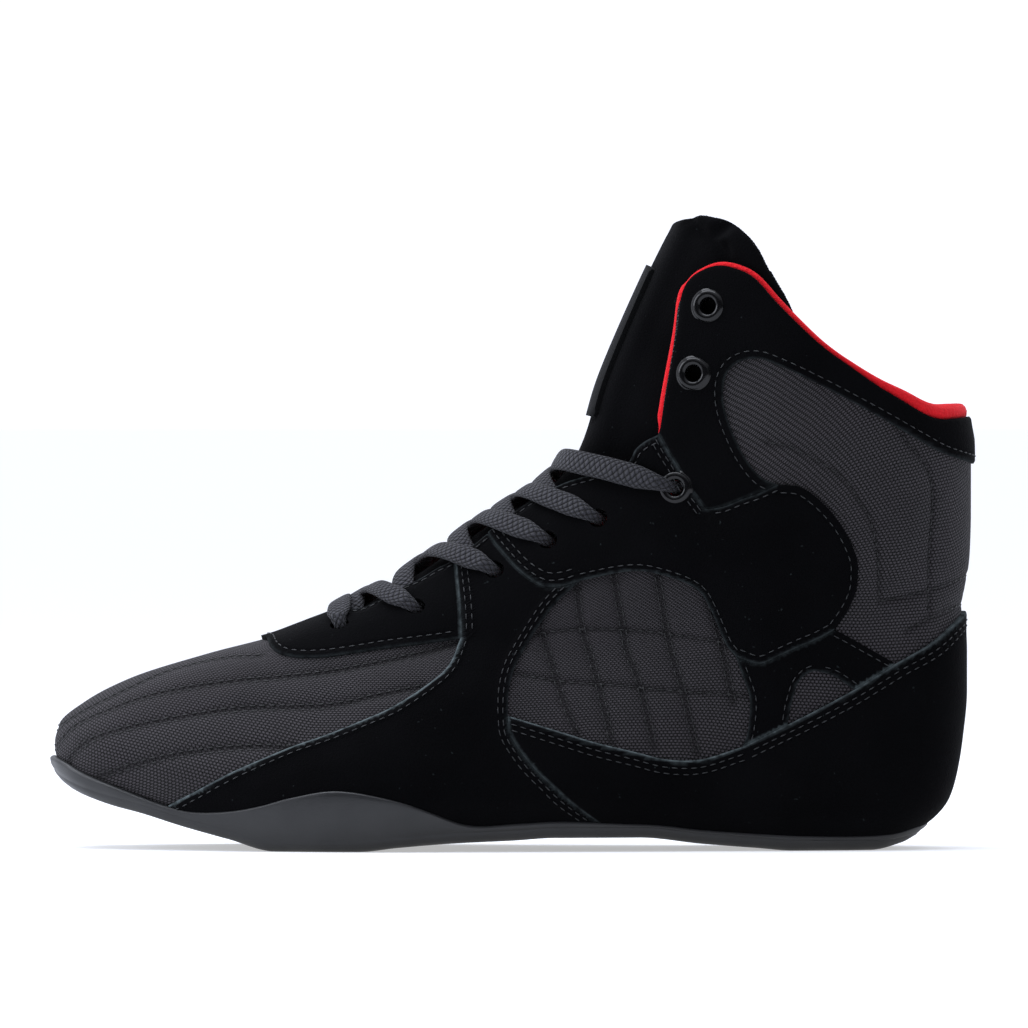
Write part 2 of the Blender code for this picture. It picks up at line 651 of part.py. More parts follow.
def main():
    for thing in list(bpy.data.objects):
        bpy.data.objects.remove(thing)
    canvas = new_material("canvas", (0.022, 0.020, 0.021), 0.9)
    suede = new_material("suede", (0.004, 0.004, 0.005), 0.95)
    rubber = new_material("rubber", (0.023, 0.024, 0.025), 0.5)
    foam = new_material("foam", (0.35, 0.01, 0.015), 0.9)
    enamel = new_material("enamel", (0.01, 0.01, 0.01), 0.2, 0.6)
    braid = new_material("braid", (0.03, 0.03, 0.035), 0.85)
    opening = opening_prism()
    holes = hole_cutters()
    make_upper(opening, holes, canvas)
    make_outsole(rubber)
    make_insole(foam)
    make_overlays(opening, holes, suede)
    make_tongue(suede, rubber)
    drop(opening, holes)
    make_eyelets(enamel)
    make_lace(braid)


main()
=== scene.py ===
"""Looks of the left wrestling shoe: canvas, suede, rubber, lining, stitching and lace.

The toe points to -X, the outer side to -Y, and the origin is the flat spot under the heel.
Every piece is laid on one form, the outside of the canvas upper, at a level (0 at the sole,
about 1 at the collar) and an angle (0 at the front, pi at the back, negative on the outer side).
"""

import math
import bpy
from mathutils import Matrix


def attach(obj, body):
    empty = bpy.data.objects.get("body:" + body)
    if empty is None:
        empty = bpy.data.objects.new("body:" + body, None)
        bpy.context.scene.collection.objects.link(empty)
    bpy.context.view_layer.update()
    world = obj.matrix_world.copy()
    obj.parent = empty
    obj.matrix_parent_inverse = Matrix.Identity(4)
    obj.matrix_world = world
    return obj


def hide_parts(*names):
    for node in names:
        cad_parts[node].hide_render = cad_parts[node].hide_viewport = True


bl_info = {
    "name": "Wrestling shoe",
    "version": (1, 0, 0),
    "blender": (4, 5, 0),
    "location": "3D View > Sidebar > Wrestling shoe",
    "description": "Builds the visible pieces of a left wrestling shoe",
    "category": "Object",
}

import bmesh
import bpy
import numpy as np
from mathutils import Matrix, Vector, kdtree

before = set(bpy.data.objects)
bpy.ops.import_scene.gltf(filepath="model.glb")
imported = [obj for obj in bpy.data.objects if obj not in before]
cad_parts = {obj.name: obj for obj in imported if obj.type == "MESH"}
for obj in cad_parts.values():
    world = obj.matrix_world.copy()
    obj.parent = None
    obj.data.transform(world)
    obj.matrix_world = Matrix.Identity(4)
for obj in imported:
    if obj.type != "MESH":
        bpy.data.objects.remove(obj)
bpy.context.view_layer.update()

MM = 0.001
OUTER, INNER = -1, 1

# Sizes of the form, in metres, as in the solid model
LENGTH = 292 * MM
HEIGHT = 200 * MM
BALL_WIDTH = 97 * MM
HEEL_WIDTH = 66 * MM
COLLAR_WIDTH = 77 * MM
HEEL_REST = 0.852
SOLE_FLOOR = 3.5 * MM
SOLE_SIDE = 1.9 * MM
SOLE_EDGE = 2.5 * MM
CLEARANCE = 0.3 * MM
TOP_LEVEL = 1.25

# The photo: metres a pixel covers, and the pixel of the form's origin
PIXEL = 0.3167 * MM
PHOTO_SIZE = 1028
PHOTO_ORIGIN = (838.5, 848.0)

# Front and back lines of the form: level, front u, front v, back u, back v
# (u is percent of LENGTH from the toe, v percent of HEIGHT from the floor)
PROFILE = (
    (0.00, 0.8, 12.3, 93.8, 4.1),
    (0.05, 0.1, 15.6, 95.4, 6.0),
    (0.12, 0.5, 19.1, 96.6, 8.6),
    (0.20, 3.4, 22.9, 97.4, 12.6),
    (0.30, 8.5, 26.8, 98.0, 18.2),
    (0.40, 16.6, 30.6, 98.4, 25.0),
    (0.50, 25.4, 34.1, 98.4, 32.9),
    (0.60, 35.0, 40.3, 98.6, 39.2),
    (0.70, 46.0, 50.8, 99.3, 45.0),
    (0.80, 55.3, 60.8, 99.5, 53.4),
    (0.90, 58.6, 75.0, 99.5, 62.1),
    (1.00, 63.8, 92.4, 98.9, 70.0),
    (1.12, 66.2, 99.4, 98.6, 76.0),
    (1.25, 68.6, 106.5, 98.4, 84.0),
)
# Half widths as percent of the reference width, at stations from front to back
STATIONS = (0.0, 0.1, 0.3, 0.5, 0.7, 0.9, 1.0)
WIDTHS = (
    # level, front, toe, ball, waist, arch, heel, back
    (0.00, 57.7, 51.1, 53.6, 43.6, 42.0, 65.1, 86.4),
    (0.12, 66.0, 58.6, 59.1, 50.3, 48.5, 73.5, 93.9),
    (0.30, 59.8, 50.6, 50.4, 44.2, 45.7, 66.3, 86.4),
    (0.50, 50.1, 44.9, 38.8, 38.2, 47.0, 58.7, 73.6),
    (0.70, 50.5, 42.6, 41.3, 43.7, 47.0, 50.8, 54.8),
    (0.90, 66.0, 49.1, 46.8, 48.7, 49.6, 51.0, 53.2),
    (1.00, 70.0, 50.8, 48.1, 50.0, 50.6, 51.9, 53.9),
    (1.12, 68.0, 50.1, 49.4, 51.3, 51.9, 52.6, 54.5),
)
# Sideways bend of the foot: station, shift to the inner side as percent of BALL_WIDTH
BEND = ((0.00, 10.3), (0.15, 6.6), (0.35, -1.0), (0.60, -4.6), (0.87, -0.5), (1.00, 0.0))
# Underside of the sole: u, v
UNDERSIDE = (
    (0.0, 13.0), (0.9, 10.6), (2.8, 8.7), (6.0, 7.0), (9.5, 5.7), (13.8, 3.8), (19.2, 1.7),
    (23.8, 0.0), (33.5, 0.0), (37.6, 0.6), (44.0, 1.3), (50.0, 1.7), (54.6, 2.1), (63.7, 2.1),
    (70.2, 1.1), (76.4, 0.4), (80.0, 0.0), (89.0, 0.0), (92.0, 0.9), (93.6, 2.1), (95.5, 4.2),
)

# Seams and edges in the side view: u, v along each
SEAMS = {
    "rim": (
        (-0.1, 14.6), (1.4, 13.7), (3.8, 11.8), (7.0, 10.0), (9.9, 8.4), (12.7, 7.0),
        (15.6, 6.2), (19.2, 6.3), (22.7, 7.1), (26.2, 8.4), (31.1, 9.4), (36.9, 8.1), (40.5, 6.6),
        (44.0, 4.7), (46.5, 4.2), (50.4, 4.6), (55.6, 4.9), (65.0, 4.3), (70.0, 3.5), (77.4, 2.8),
        (84.7, 2.6), (90.0, 2.9), (93.0, 4.0), (94.7, 4.6), (99.0, 5.2)),
    "throat": (
        (29.2, 38.6), (31.3, 37.8), (33.4, 37.6), (35.4, 38.9), (38.3, 41.2), (40.0, 42.4), (41.9, 44.1),
        (43.5, 45.3), (45.9, 47.9), (48.2, 50.6), (51.7, 54.2), (54.6, 56.7), (56.6, 58.1),
        (60.0, 59.7), (62.4, 61.0), (63.3, 63.2), (64.3, 64.5), (65.5, 65.4)),
    "collar": (
        (65.0, 64.2), (65.8, 66.1), (66.6, 72.7), (67.7, 81.5), (68.2, 87.2), (69.1, 90.0), (70.7, 91.6),
        (72.3, 92.2), (74.1, 91.7), (76.0, 90.2), (78.3, 86.5), (80.6, 83.1), (83.2, 79.6),
        (86.4, 76.2), (89.3, 73.2), (91.9, 70.9), (94.1, 68.9), (95.9, 68.0), (97.8, 68.1),
        (100.0, 68.4), (103.0, 68.6)),
    "toe_stay": (
        (23.3, 32.9), (23.9, 31.6), (25.1, 30.6), (27.2, 30.2), (30.0, 30.4), (32.9, 31.0),
        (36.4, 31.8), (40.1, 32.5), (44.3, 33.4)),
    "front_upper": ((43.6, 49.5), (43.8, 45.3), (44.0, 42.1), (44.2, 38.2), (44.3, 33.4)),
    "front_lower": (
        (44.3, 33.4), (43.0, 29.1), (40.5, 25.9), (36.9, 22.6), (33.4, 20.3), (29.8, 18.2),
        (26.2, 16.4), (22.7, 14.3), (19.1, 12.0), (15.6, 9.4), (12.7, 7.1), (9.8, 4.0)),
    "back_upper": (
        (57.1, 42.5), (54.6, 39.1), (53.0, 36.1), (51.3, 32.2), (50.0, 28.6), (49.4, 25.0), (49.3, 21.3)),
    "back_lower": (
        (49.3, 21.3), (49.6, 18.3), (50.9, 15.3), (52.5, 12.6), (54.6, 9.8), (58.4, 5.6), (61.0, 2.5)),
    "saddle_lower": (
        (46.3, 52.5), (47.8, 48.7), (49.2, 46.2), (50.5, 44.2), (52.0, 42.5), (53.6, 41.5),
        (55.5, 41.7), (57.1, 42.5)),
    "window_top": (
        (57.1, 42.5), (60.8, 43.7), (63.5, 44.1), (66.0, 43.5), (68.7, 42.2), (70.2, 40.7),
        (71.2, 38.2), (72.0, 35.5), (72.9, 32.5), (73.9, 30.7)),
    "circle_lower": ((73.9, 30.7), (76.4, 29.6), (78.5, 30.8), (80.6, 32.2), (82.6, 33.4), (84.5, 34.9)),
    "circle_upper": (
        (84.5, 34.9), (85.9, 37.9), (86.8, 41.0), (87.0, 43.6), (86.9, 46.2), (85.8, 50.1),
        (84.3, 53.3), (82.5, 55.9), (80.7, 57.5), (78.4, 57.8)),
    "saddle_upper": ((78.4, 57.8), (76.2, 56.3), (74.5, 55.4), (72.7, 54.3), (70.8, 53.8)),
    "tab_back": ((70.8, 53.8), (69.1, 57.2), (67.8, 60.6), (66.7, 63.2), (65.8, 65.6), (64.6, 68.0)),
    "collar_lower": (
        (104.0, 58.5), (100.2, 60.6), (96.3, 62.6), (93.7, 64.7), (88.9, 68.8), (82.8, 73.6),
        (78.0, 76.9), (75.9, 77.6), (74.1, 76.9), (73.0, 75.2), (72.6, 72.6), (72.8, 69.5),
        (73.7, 65.7), (75.0, 61.9), (76.7, 58.9), (78.4, 57.8)),
    "counter_back": ((104.0, 43.0), (98.9, 37.6), (95.1, 32.8), (91.1, 29.4)),
    "counter_stay": ((91.1, 29.4), (86.8, 25.5), (82.6, 22.2), (78.5, 19.2), (74.6, 16.4)),
    "counter_front": (
        (74.6, 16.4), (70.2, 14.5), (66.4, 14.5), (62.9, 15.7), (58.8, 17.1), (54.6, 18.9), (49.3, 21.3)),
    "stay_left": ((73.9, 30.7), (74.7, 27.4), (75.4, 24.3), (75.4, 21.3), (75.1, 18.3), (74.6, 16.4)),
    "stay_upper": ((84.5, 34.9), (86.4, 33.4), (88.9, 31.3), (91.1, 29.4)),
    "window_front": ((79.0, 17.0), (79.5, 20.1), (79.9, 23.4), (80.6, 26.5), (81.6, 28.0), (82.4, 28.4)),
    "window_back": ((82.4, 28.4), (84.3, 27.7), (85.9, 26.2), (87.6, 24.4)),
    "tongue_top": (
        (81.0, 82.0), (80.0, 84.2), (79.0, 86.9), (77.3, 91.0), (75.7, 95.3), (74.0, 98.0), (72.2, 99.8),
        (70.4, 100.6), (68.6, 100.8), (67.0, 100.5), (65.0, 99.4), (62.0, 98.2)),
    "tongue_edge": (
        (27.5, 35.5), (29.5, 33.5), (34.0, 34.5), (40.0, 36.5), (46.0, 40.0), (53.0, 46.0),
        (60.0, 53.5), (67.0, 63.0), (73.0, 71.0), (81.0, 82.0)),
}

# Each overlay: its edges in order, the line it is mirrored at, how far it stands over the others
# in mm, and its rows of stitches (edge, distances from it in mm)
PANELS = {
    "side_overlay": (
        ("saddle_lower", "throat", "front_upper", "front_lower", "rim", "back_lower", "back_upper"),
        None, 0.0,
        (("front_upper", (2.0, 3.8)), ("front_lower", (2.1,)), ("back_upper", (1.6, 3.2)),
         ("back_lower", (1.6, 3.2)), ("throat", (2.2,)))),
    "toe_eyestay": (
        ("toe_stay", "front_upper", "throat"), "ridge", 0.0, (("toe_stay", (2.2,)), ("throat", (2.2,)))),
    "ankle_stay": (
        ("circle_lower", "stay_upper", "counter_stay", "window_back", "window_front", "counter_stay",
         "stay_left"), None, 0.0,
        (("stay_left", (1.8,)), ("stay_upper", (1.8,)), ("window_front", (1.8,)), ("window_back", (1.8,)))),
    "collar_cuff": (
        ("collar", "tab_back", "saddle_upper", "collar_lower"), "spine", 0.0, (("collar_lower", (2.4,)),)),
    "saddle": (
        ("saddle_lower", "window_top", "circle_lower", "circle_upper", "saddle_upper", "tab_back", "throat"),
        None, 0.35,
        (("saddle_lower", (1.9, 4.0)), ("window_top", (1.8,)), ("circle_lower", (2.4,)),
         ("circle_upper", (2.4,)), ("saddle_upper", (1.6,)), ("tab_back", (1.5, 3.0)), ("throat", (2.2,)))),
    "heel_counter": (
        ("counter_back", "counter_stay", "counter_front", "back_lower", "rim"), "spine", 0.35,
        (("counter_back", (2.4, 4.3)), ("counter_stay", (2.4, 4.3)), ("counter_front", (2.4, 4.3)))),
}
# How light the raw cut edge of a seam shows, 0 to 1
RAW_EDGES = {
    "front_lower": 1.0, "front_upper": 0.55, "counter_front": 1.0, "counter_stay": 0.75,
    "counter_back": 0.7, "back_lower": 0.35, "back_upper": 0.12, "saddle_lower": 0.25, "window_top": 0.2,
    "circle_lower": 0.2, "saddle_upper": 0.15, "stay_left": 0.15, "window_front": 0.15, "window_back": 0.15,
    "throat": 0.25, "tab_back": 0.3, "toe_stay": 0.1, "collar_lower": 0.12,
}

# Quilting on the canvas, in the photo's pixels: double rows on the vamp
VAMP_QUILT = (
    ((56, 729), (70, 719), (85, 710), (131, 687), (170, 670), (223, 657), (262, 654)),
    ((54, 749), (75, 726), (108, 710), (157, 693), (230, 680), (328, 670), (423, 651), (456, 641)),
    ((68, 762), (80, 747), (98, 736), (131, 726), (184, 715), (246, 706), (328, 703), (377, 693), (423, 684)),
    ((100, 775), (130, 765), (161, 756), (197, 749), (246, 744), (295, 744)),
)
# Double rows in the window at the waist
WINDOW_QUILT = (
    ((576, 575), (581, 623), (591, 656), (600, 690), (612, 740)),
    ((612, 568), (622, 623), (627, 650), (639, 682), (654, 745)),
    ((655, 562), (664, 617), (671, 652), (681, 684), (696, 750)),
    ((700, 570), (712, 610), (722, 650), (732, 700)),
    ((535, 610), (545, 640), (555, 671), (562, 694), (578, 735)),
)
# Single rows: across the window and on the shaft
SINGLE_QUILT = (
    ((528, 633), (537, 631), (585, 627), (643, 629), (710, 638), (728, 642)),
    ((510, 668), (518, 671), (566, 679), (614, 682), (671, 688), (748, 693)),
    ((766, 441), (789, 446), (822, 463), (846, 481), (857, 499), (867, 514), (874, 539), (877, 564),
     (878, 600)),
    ((895, 425), (905, 440), (930, 480), (928, 560), (928, 617)),
    ((878, 600), (900, 596), (928, 589), (950, 582), (975, 572)),
    ((905, 630), (928, 617), (962, 604), (975, 600)),
)
# Soft creases on the tongue's top, in the photo's pixels, each with its depth and width in mm
TONGUE_CREASES = (
    (((680, 214), (690, 227), (700, 236), (712, 248), (722, 264)), 2.3, 2.6),
    (((728, 214), (716, 225), (707, 231), (700, 236)), 2.3, 2.8),
    (((719, 243), (721, 251), (720, 264)), 1.8, 1.5),
)

# Lace rows from the toe up: u, v of the hole, and whether it has a metal eyelet
LACE_ROWS = (
    (31.3, 35.0, False), (39.5, 38.0, False), (48.0, 44.0, False), (53.8, 48.7, False),
    (59.2, 52.2, False), (67.5, 57.2, True), (69.5, 75.2, True), (71.1, 85.8, True))
# Where the laces to each laced row's outer and inner hole cross the shoe's middle: u
LACE_CROSSINGS = ((31.6, 31.6), (34.6, 33.0), (40.8, 38.6), (46.4, 44.3), (51.2, 48.9), (55.2, 53.3))


def linear(code):
    """Linear colour of an sRGB hex value."""
    parts = [int(code[i:i + 2], 16) / 255 for i in (1, 3, 5)]
    return [c / 12.92 if c <= 0.04045 else ((c + 0.055) / 1.055) ** 2.4 for c in parts]


def size_property(name, description, default):
    return bpy.props.FloatProperty(name=name, description=description, default=default, unit="LENGTH")


def colour_property(name, description, code):
    return bpy.props.FloatVectorProperty(
        name=name, description=description, subtype="COLOR", default=linear(code))


class ShoeSizes(bpy.types.PropertyGroup):
    """Sizes of the soft pieces."""
    suede: size_property("Suede", "Thickness of the suede overlays", 1.2 * MM)
    mesh_step: size_property("Mesh step", "Distance between the vertices of a suede piece", 1.15 * MM)
    quilt_depth: size_property("Quilt depth", "How deep the quilting draws the canvas in", 0.8 * MM)
    thread_pitch: size_property("Weave pitch", "From one thread of the canvas to the next", 1.05 * MM)
    stitch_pitch: size_property("Stitch pitch", "From one stitch to the next", 3.1 * MM)
    stitch_length: size_property("Stitch length", "Visible length of a stitch", 2.3 * MM)
    stitch_width: size_property("Stitch width", "Thickness of the thread", 0.4 * MM)
    lace_width: size_property("Lace width", "Width of the flat lace", 7.6 * MM)
    lace_thickness: size_property("Lace thickness", "Thickness of the flat lace", 2.1 * MM)
    hole: size_property("Lace hole", "Radius of a punched hole", 3.1 * MM)
    piping: size_property("Lining roll", "Radius of the lining rolled over the collar", 1.25 * MM)


class ShoeColours(bpy.types.PropertyGroup):
    """Colours of the materials."""
    canvas: colour_property("Canvas", "Threads of the canvas", "#3a373a")
    suede: colour_property("Suede", "Nap of the suede", "#060607")
    raw_edge: colour_property("Raw edge", "Cut edge of the suede", "#5c6567")
    rubber: colour_property("Rubber", "Outsole", "#131416")
    lining: colour_property("Lining", "Fleece lining", "#d8141f")
    lace: colour_property("Lace", "Braided lace", "#333338")
    thread: colour_property("Thread", "Stitches on suede", "#131618")
    quilt_thread: colour_property("Quilting thread", "Stitches on canvas", "#070708")
    enamel: colour_property("Enamel", "Metal eyelets", "#060607")


def sizes():
    return bpy.context.scene.shoe_sizes


def colours():
    return bpy.context.scene.shoe_colours


# The form

def smooth_curve(rows):
    """Curve through a table whose first column rises, without overshoot; other columns are values."""
    table = np.array(rows, dtype=float)
    at, values = table[:, 0], table[:, 1:]
    steps = np.diff(at)
    slopes = np.diff(values, axis=0) / steps[:, None]
    tangents = np.zeros_like(values)
    tangents[0], tangents[-1] = slopes[0], slopes[-1]
    before, after = slopes[:-1], slopes[1:]
    same_way = before * after > 0
    total = np.where(same_way, before + after, 1.0)
    tangents[1:-1] = np.where(same_way, 2 * before * after / total, 0.0)

    def value(where):
        where = np.clip(np.atleast_1d(np.asarray(where, dtype=float)), at[0], at[-1])
        k = np.clip(np.searchsorted(at, where, side="right") - 1, 0, len(steps) - 1)
        h = steps[k][:, None]
        s = ((where - at[k]) / steps[k])[:, None]
        return (values[k] * (1 + 2 * s) * (1 - s) ** 2 + tangents[k] * h * s * (1 - s) ** 2
                + values[k + 1] * s * s * (3 - 2 * s) + tangents[k + 1] * h * s * s * (s - 1))
    return value


def fade(low, high, value):
    """0 below low, 1 above high, smooth between."""
    share = np.clip((value - low) / (high - low), 0, 1)
    return share * share * (3 - 2 * share)


# Levels over which the feather line, the sideways bend and the foot's widths give way to the shaft
FEATHER_FADE, BEND_FADE, SHAFT_FADE = (0, 0.45), (0.2, 0.75), (0.45, 0.8)

PROFILE_AT = smooth_curve(PROFILE)
WIDTHS_AT = smooth_curve(WIDTHS)
BEND_AT = smooth_curve(BEND)
UNDERSIDE_AT = smooth_curve(UNDERSIDE)
LEVEL_STEPS, STATION_STEPS = 250, 200
WIDTH_TABLE = np.array([
    smooth_curve(np.column_stack((STATIONS, row)))(np.linspace(0, 1, STATION_STEPS + 1))[:, 0] / 100
    for row in WIDTHS_AT(np.linspace(0, TOP_LEVEL, LEVEL_STEPS + 1))])


def between_cells(table, row, column):
    """Value of a table between its cells; row and column count in cells."""
    row = np.clip(row, 0, table.shape[0] - 1.001)
    column = np.clip(column, 0, table.shape[1] - 1.001)
    i, j = row.astype(int), column.astype(int)
    a, b = row - i, column - j
    return ((table[i, j] * (1 - b) + table[i, j + 1] * b) * (1 - a)
            + (table[i + 1, j] * (1 - b) + table[i + 1, j + 1] * b) * a)


def place_x(u):
    return (u / 100 - HEEL_REST) * LENGTH


def place_z(v):
    return v / 100 * HEIGHT


def form(level, angle):
    """Points of the form at levels and angles."""
    level, angle = np.broadcast_arrays(np.asarray(level, float), np.asarray(angle, float))
    front_u, front_v, back_u, back_v = PROFILE_AT(level).T
    low_front_u, low_front_v, low_back_u, low_back_v = PROFILE_AT(0)[0]
    station = (1 - np.cos(angle)) / 2
    low_u = low_front_u + (low_back_u - low_front_u) * station
    feather = place_z(UNDERSIDE_AT(low_u)[:, 0]) + SOLE_FLOOR
    low_line = place_z(low_front_v + (low_back_v - low_front_v) * station)
    x = place_x(front_u + (back_u - front_u) * station)
    z = place_z(front_v + (back_v - front_v) * station)
    z = z + (feather - low_line) * (1 - fade(*FEATHER_FADE, level))
    cell = np.clip(level, 0, TOP_LEVEL) / TOP_LEVEL * LEVEL_STEPS
    shares = between_cells(WIDTH_TABLE, cell, station * STATION_STEPS)
    shaft = fade(*SHAFT_FADE, level)
    foot_width = BALL_WIDTH + (HEEL_WIDTH - BALL_WIDTH) * station
    half = shares * (foot_width * (1 - shaft) + COLLAR_WIDTH * shaft)
    bend = BEND_AT(station)[:, 0] / 100 * BALL_WIDTH * (1 - fade(*BEND_FADE, level))
    return np.column_stack((x, bend + half * np.sin(angle), z))


def slopes(level, angle):
    """How the form's points move with the level and with the angle."""
    tiny = 1e-3
    low, high = np.maximum(level - tiny, 0), np.minimum(level + tiny, TOP_LEVEL)
    up = (form(high, angle) - form(low, angle)) / np.broadcast_to(high - low, np.shape(angle))[:, None]
    return up, (form(level, angle + tiny) - form(level, angle - tiny)) / (2 * tiny)


def normals(level, angle):
    """Outward normals; they lie level at the feather line."""
    level, angle = np.broadcast_arrays(np.asarray(level, float), np.asarray(angle, float))
    up, along = slopes(level, angle)
    normal = np.cross(along, up)
    middle = (form(level, np.zeros_like(angle)) + form(level, np.full_like(angle, math.pi))) / 2
    normal[np.sum(normal * (form(level, angle) - middle), axis=1) < 0] *= -1
    normal[:, 2] *= fade(-0.01, 0.03, level)
    return unit(normal)


def surface(level, angle, lift):
    lift = np.broadcast_to(np.asarray(lift, float), np.shape(angle))
    return form(level, angle) + normals(level, angle) * lift[:, None]


def on_form(u, v):
    """Level and angle (0 to pi) of the form's points that the side view shows at u, v."""
    u, v = np.asarray(u, float), np.asarray(v, float)
    low, high = np.zeros_like(u), np.full_like(u, TOP_LEVEL)
    for _ in range(36):
        level = (low + high) / 2
        front_u, _, back_u, _ = PROFILE_AT(level).T
        angle = np.arccos(1 - 2 * np.clip((u - front_u) / (back_u - front_u), 0, 1))
        below = form(level, angle)[:, 2] < place_z(v)
        low, high = np.where(below, level, low), np.where(below, high, level)
    return level, angle


def from_photo(points):
    """u and v of pixels of the photo."""
    pixels = np.array(points, float)
    x = (pixels[:, 0] - PHOTO_ORIGIN[0]) * PIXEL
    z = (PHOTO_ORIGIN[1] - pixels[:, 1]) * PIXEL
    return np.column_stack((((x / LENGTH) + HEEL_REST) * 100, z / HEIGHT * 100))


def smooth_line(points, steps):
    """Points along a smooth line through the given ones, with both ends kept."""
    pts = [np.array(p, dtype=float) for p in points]
    padded = [2 * pts[0] - pts[1]] + pts + [2 * pts[-1] - pts[-2]]
    line = []
    for a, b, c, d in zip(padded, padded[1:], padded[2:], padded[3:]):
        for k in range(steps):
            s = k / steps
            line.append(0.5 * (2 * b + (c - a) * s + (2 * a - 5 * b + 4 * c - d) * s * s
                               + (3 * b - a - 3 * c + d) * s ** 3))
    line.append(pts[-1])
    return np.array(line)


# Metres that one unit of angle and of level cover, about, for telling what lies near
MAP_SCALE = np.array((0.1, 0.16))
# How far the overlays reach down behind the sole's rim
RIM_TUCK = 1.6 * MM


def run_of(points):
    """Distance along a line of points at each of them."""
    return np.concatenate(([0], np.cumsum(np.linalg.norm(np.diff(points, axis=0), axis=1))))


def unit(rows):
    return rows / np.linalg.norm(rows, axis=1)[:, None]


def tree_of(points):
    """Search tree over rows of points."""
    tree = kdtree.KDTree(len(points))
    for k, point in enumerate(points):
        tree.insert(point, k)
    tree.balance()
    return tree


def gaps_to(spots, points):
    """Distance from each point to the nearest spot."""
    tree = tree_of(spots)
    return np.array([tree.find(point)[2] for point in points])


def spaced(line, step, least=2):
    """The line's points at equal steps on the form; rows of angle, level."""
    run = run_of(form(line[:, 1], line[:, 0]))
    count = max(least, int(round(run[-1] / step)) + 1)
    at = np.linspace(0, run[-1], count)
    return np.column_stack((np.interp(at, run, line[:, 0]), np.interp(at, run, line[:, 1])))


def map_line(points, steps=8):
    """Rows of angle, level along a smooth side-view line."""
    line = smooth_line(points, steps)
    level, angle = on_form(line[:, 0], line[:, 1])
    beyond = angle > math.pi - 1e-6
    first = beyond & ~np.roll(beyond, -1) | beyond & ~np.roll(beyond, 1)
    kept = ~beyond | first & (np.arange(len(line)) % (len(line) - 1) != 0)
    return spaced(np.column_stack((angle, level))[kept], 0.3 * MM)


def tucked(line, depth):
    """A line of the map moved down the form."""
    up, _ = slopes(line[:, 1], line[:, 0])
    return np.column_stack((line[:, 0], np.maximum(line[:, 1] - depth / np.linalg.norm(up, axis=1), 0)))


SEAM_LINES = {name: map_line(points) for name, points in SEAMS.items()}
RIM_LINE = SEAM_LINES["rim"].copy()
SEAM_LINES["rim"] = tucked(RIM_LINE, RIM_TUCK)


def nearest(line, other):
    """Index of the line's point that lies nearest to another line."""
    gap = np.linalg.norm((line[:, None] - other[None]) * MAP_SCALE, axis=2)
    return int(np.argmin(gap.min(axis=1)))


def outline(names, mirror, step):
    """Closed edge of a panel from its seams in order: rows of angle, level, and the seam of each."""
    lines = [SEAM_LINES[name] for name in names]
    axis = {"ridge": 0.0, "spine": math.pi}.get(mirror)

    def at_axis(line):
        return int(np.argmin(np.abs(line[[0, -1], 0] - axis))) * (len(line) - 1)
    points, owners = [], []
    for k, line in enumerate(lines):
        last = mirror and k == len(lines) - 1
        start = at_axis(line) if mirror and k == 0 else nearest(line, lines[k - 1])
        stop = at_axis(line) if last else nearest(line, lines[(k + 1) % len(lines)])
        part = line[start:stop + 1] if start <= stop else line[stop:start + 1][::-1]
        part = spaced(part, step)
        points += list(part if last else part[:-1])
        owners += [names[k]] * (len(part) if last else len(part) - 1)
    points = np.array(points)
    if mirror:
        points[0, 0] = points[-1, 0] = axis
        other = points[1:-1][::-1] * (-1, 1) + (2 * axis, 0)
        points = np.concatenate((points, other))
        owners = owners + owners[1:-1][::-1]
    return points, owners


def inside(points, edge):
    """Which points of the map lie inside a closed edge."""
    x, y = points[:, 0], points[:, 1]
    found = np.zeros(len(points), bool)
    for (x1, y1), (x2, y2) in zip(edge, np.roll(edge, -1, axis=0)):
        crosses = (y1 > y) != (y2 > y)
        if crosses.any():
            found ^= crosses & (x < (x2 - x1) * (y - y1) / (y2 - y1 + 1e-12) + x1)
    return found


CLOTH_ROWS, CLOTH_COLUMNS = 125, 180


def cloth_tables():
    """Distances over the form from its back line, and up from the sole, in metres."""
    levels = np.linspace(0, TOP_LEVEL, CLOTH_ROWS + 1)
    around = np.linspace(0, math.pi, CLOTH_COLUMNS + 1)
    points = np.array([form(np.full_like(around, level), around) for level in levels])
    across = np.linalg.norm(np.diff(points, axis=1), axis=2)
    along = np.linalg.norm(np.diff(points, axis=0), axis=2)
    rest = np.cumsum(across[:, ::-1], axis=1)[:, ::-1]
    return (np.concatenate((rest, np.zeros((CLOTH_ROWS + 1, 1))), axis=1),
            np.concatenate((np.zeros((1, CLOTH_COLUMNS + 1)), np.cumsum(along, axis=0)), axis=0))


CLOTH_ACROSS, CLOTH_UP = cloth_tables()


def cloth_place(level, angle):
    """Where a point lies on the flat cloth, in metres."""
    turned = np.where(angle > math.pi, angle - 2 * math.pi, angle)
    row = np.clip(level / TOP_LEVEL, 0, 1) * CLOTH_ROWS
    column = np.abs(turned) / math.pi * CLOTH_COLUMNS
    across = between_cells(CLOTH_ACROSS, row, column) * np.where(turned < 0, -1, 1)
    return np.column_stack((across, between_cells(CLOTH_UP, row, column)))


# Making pieces

def add_attribute(mesh, name, values):
    mesh.attributes.new(name, "FLOAT", "POINT").data.foreach_set("value", np.asarray(values, np.float32))


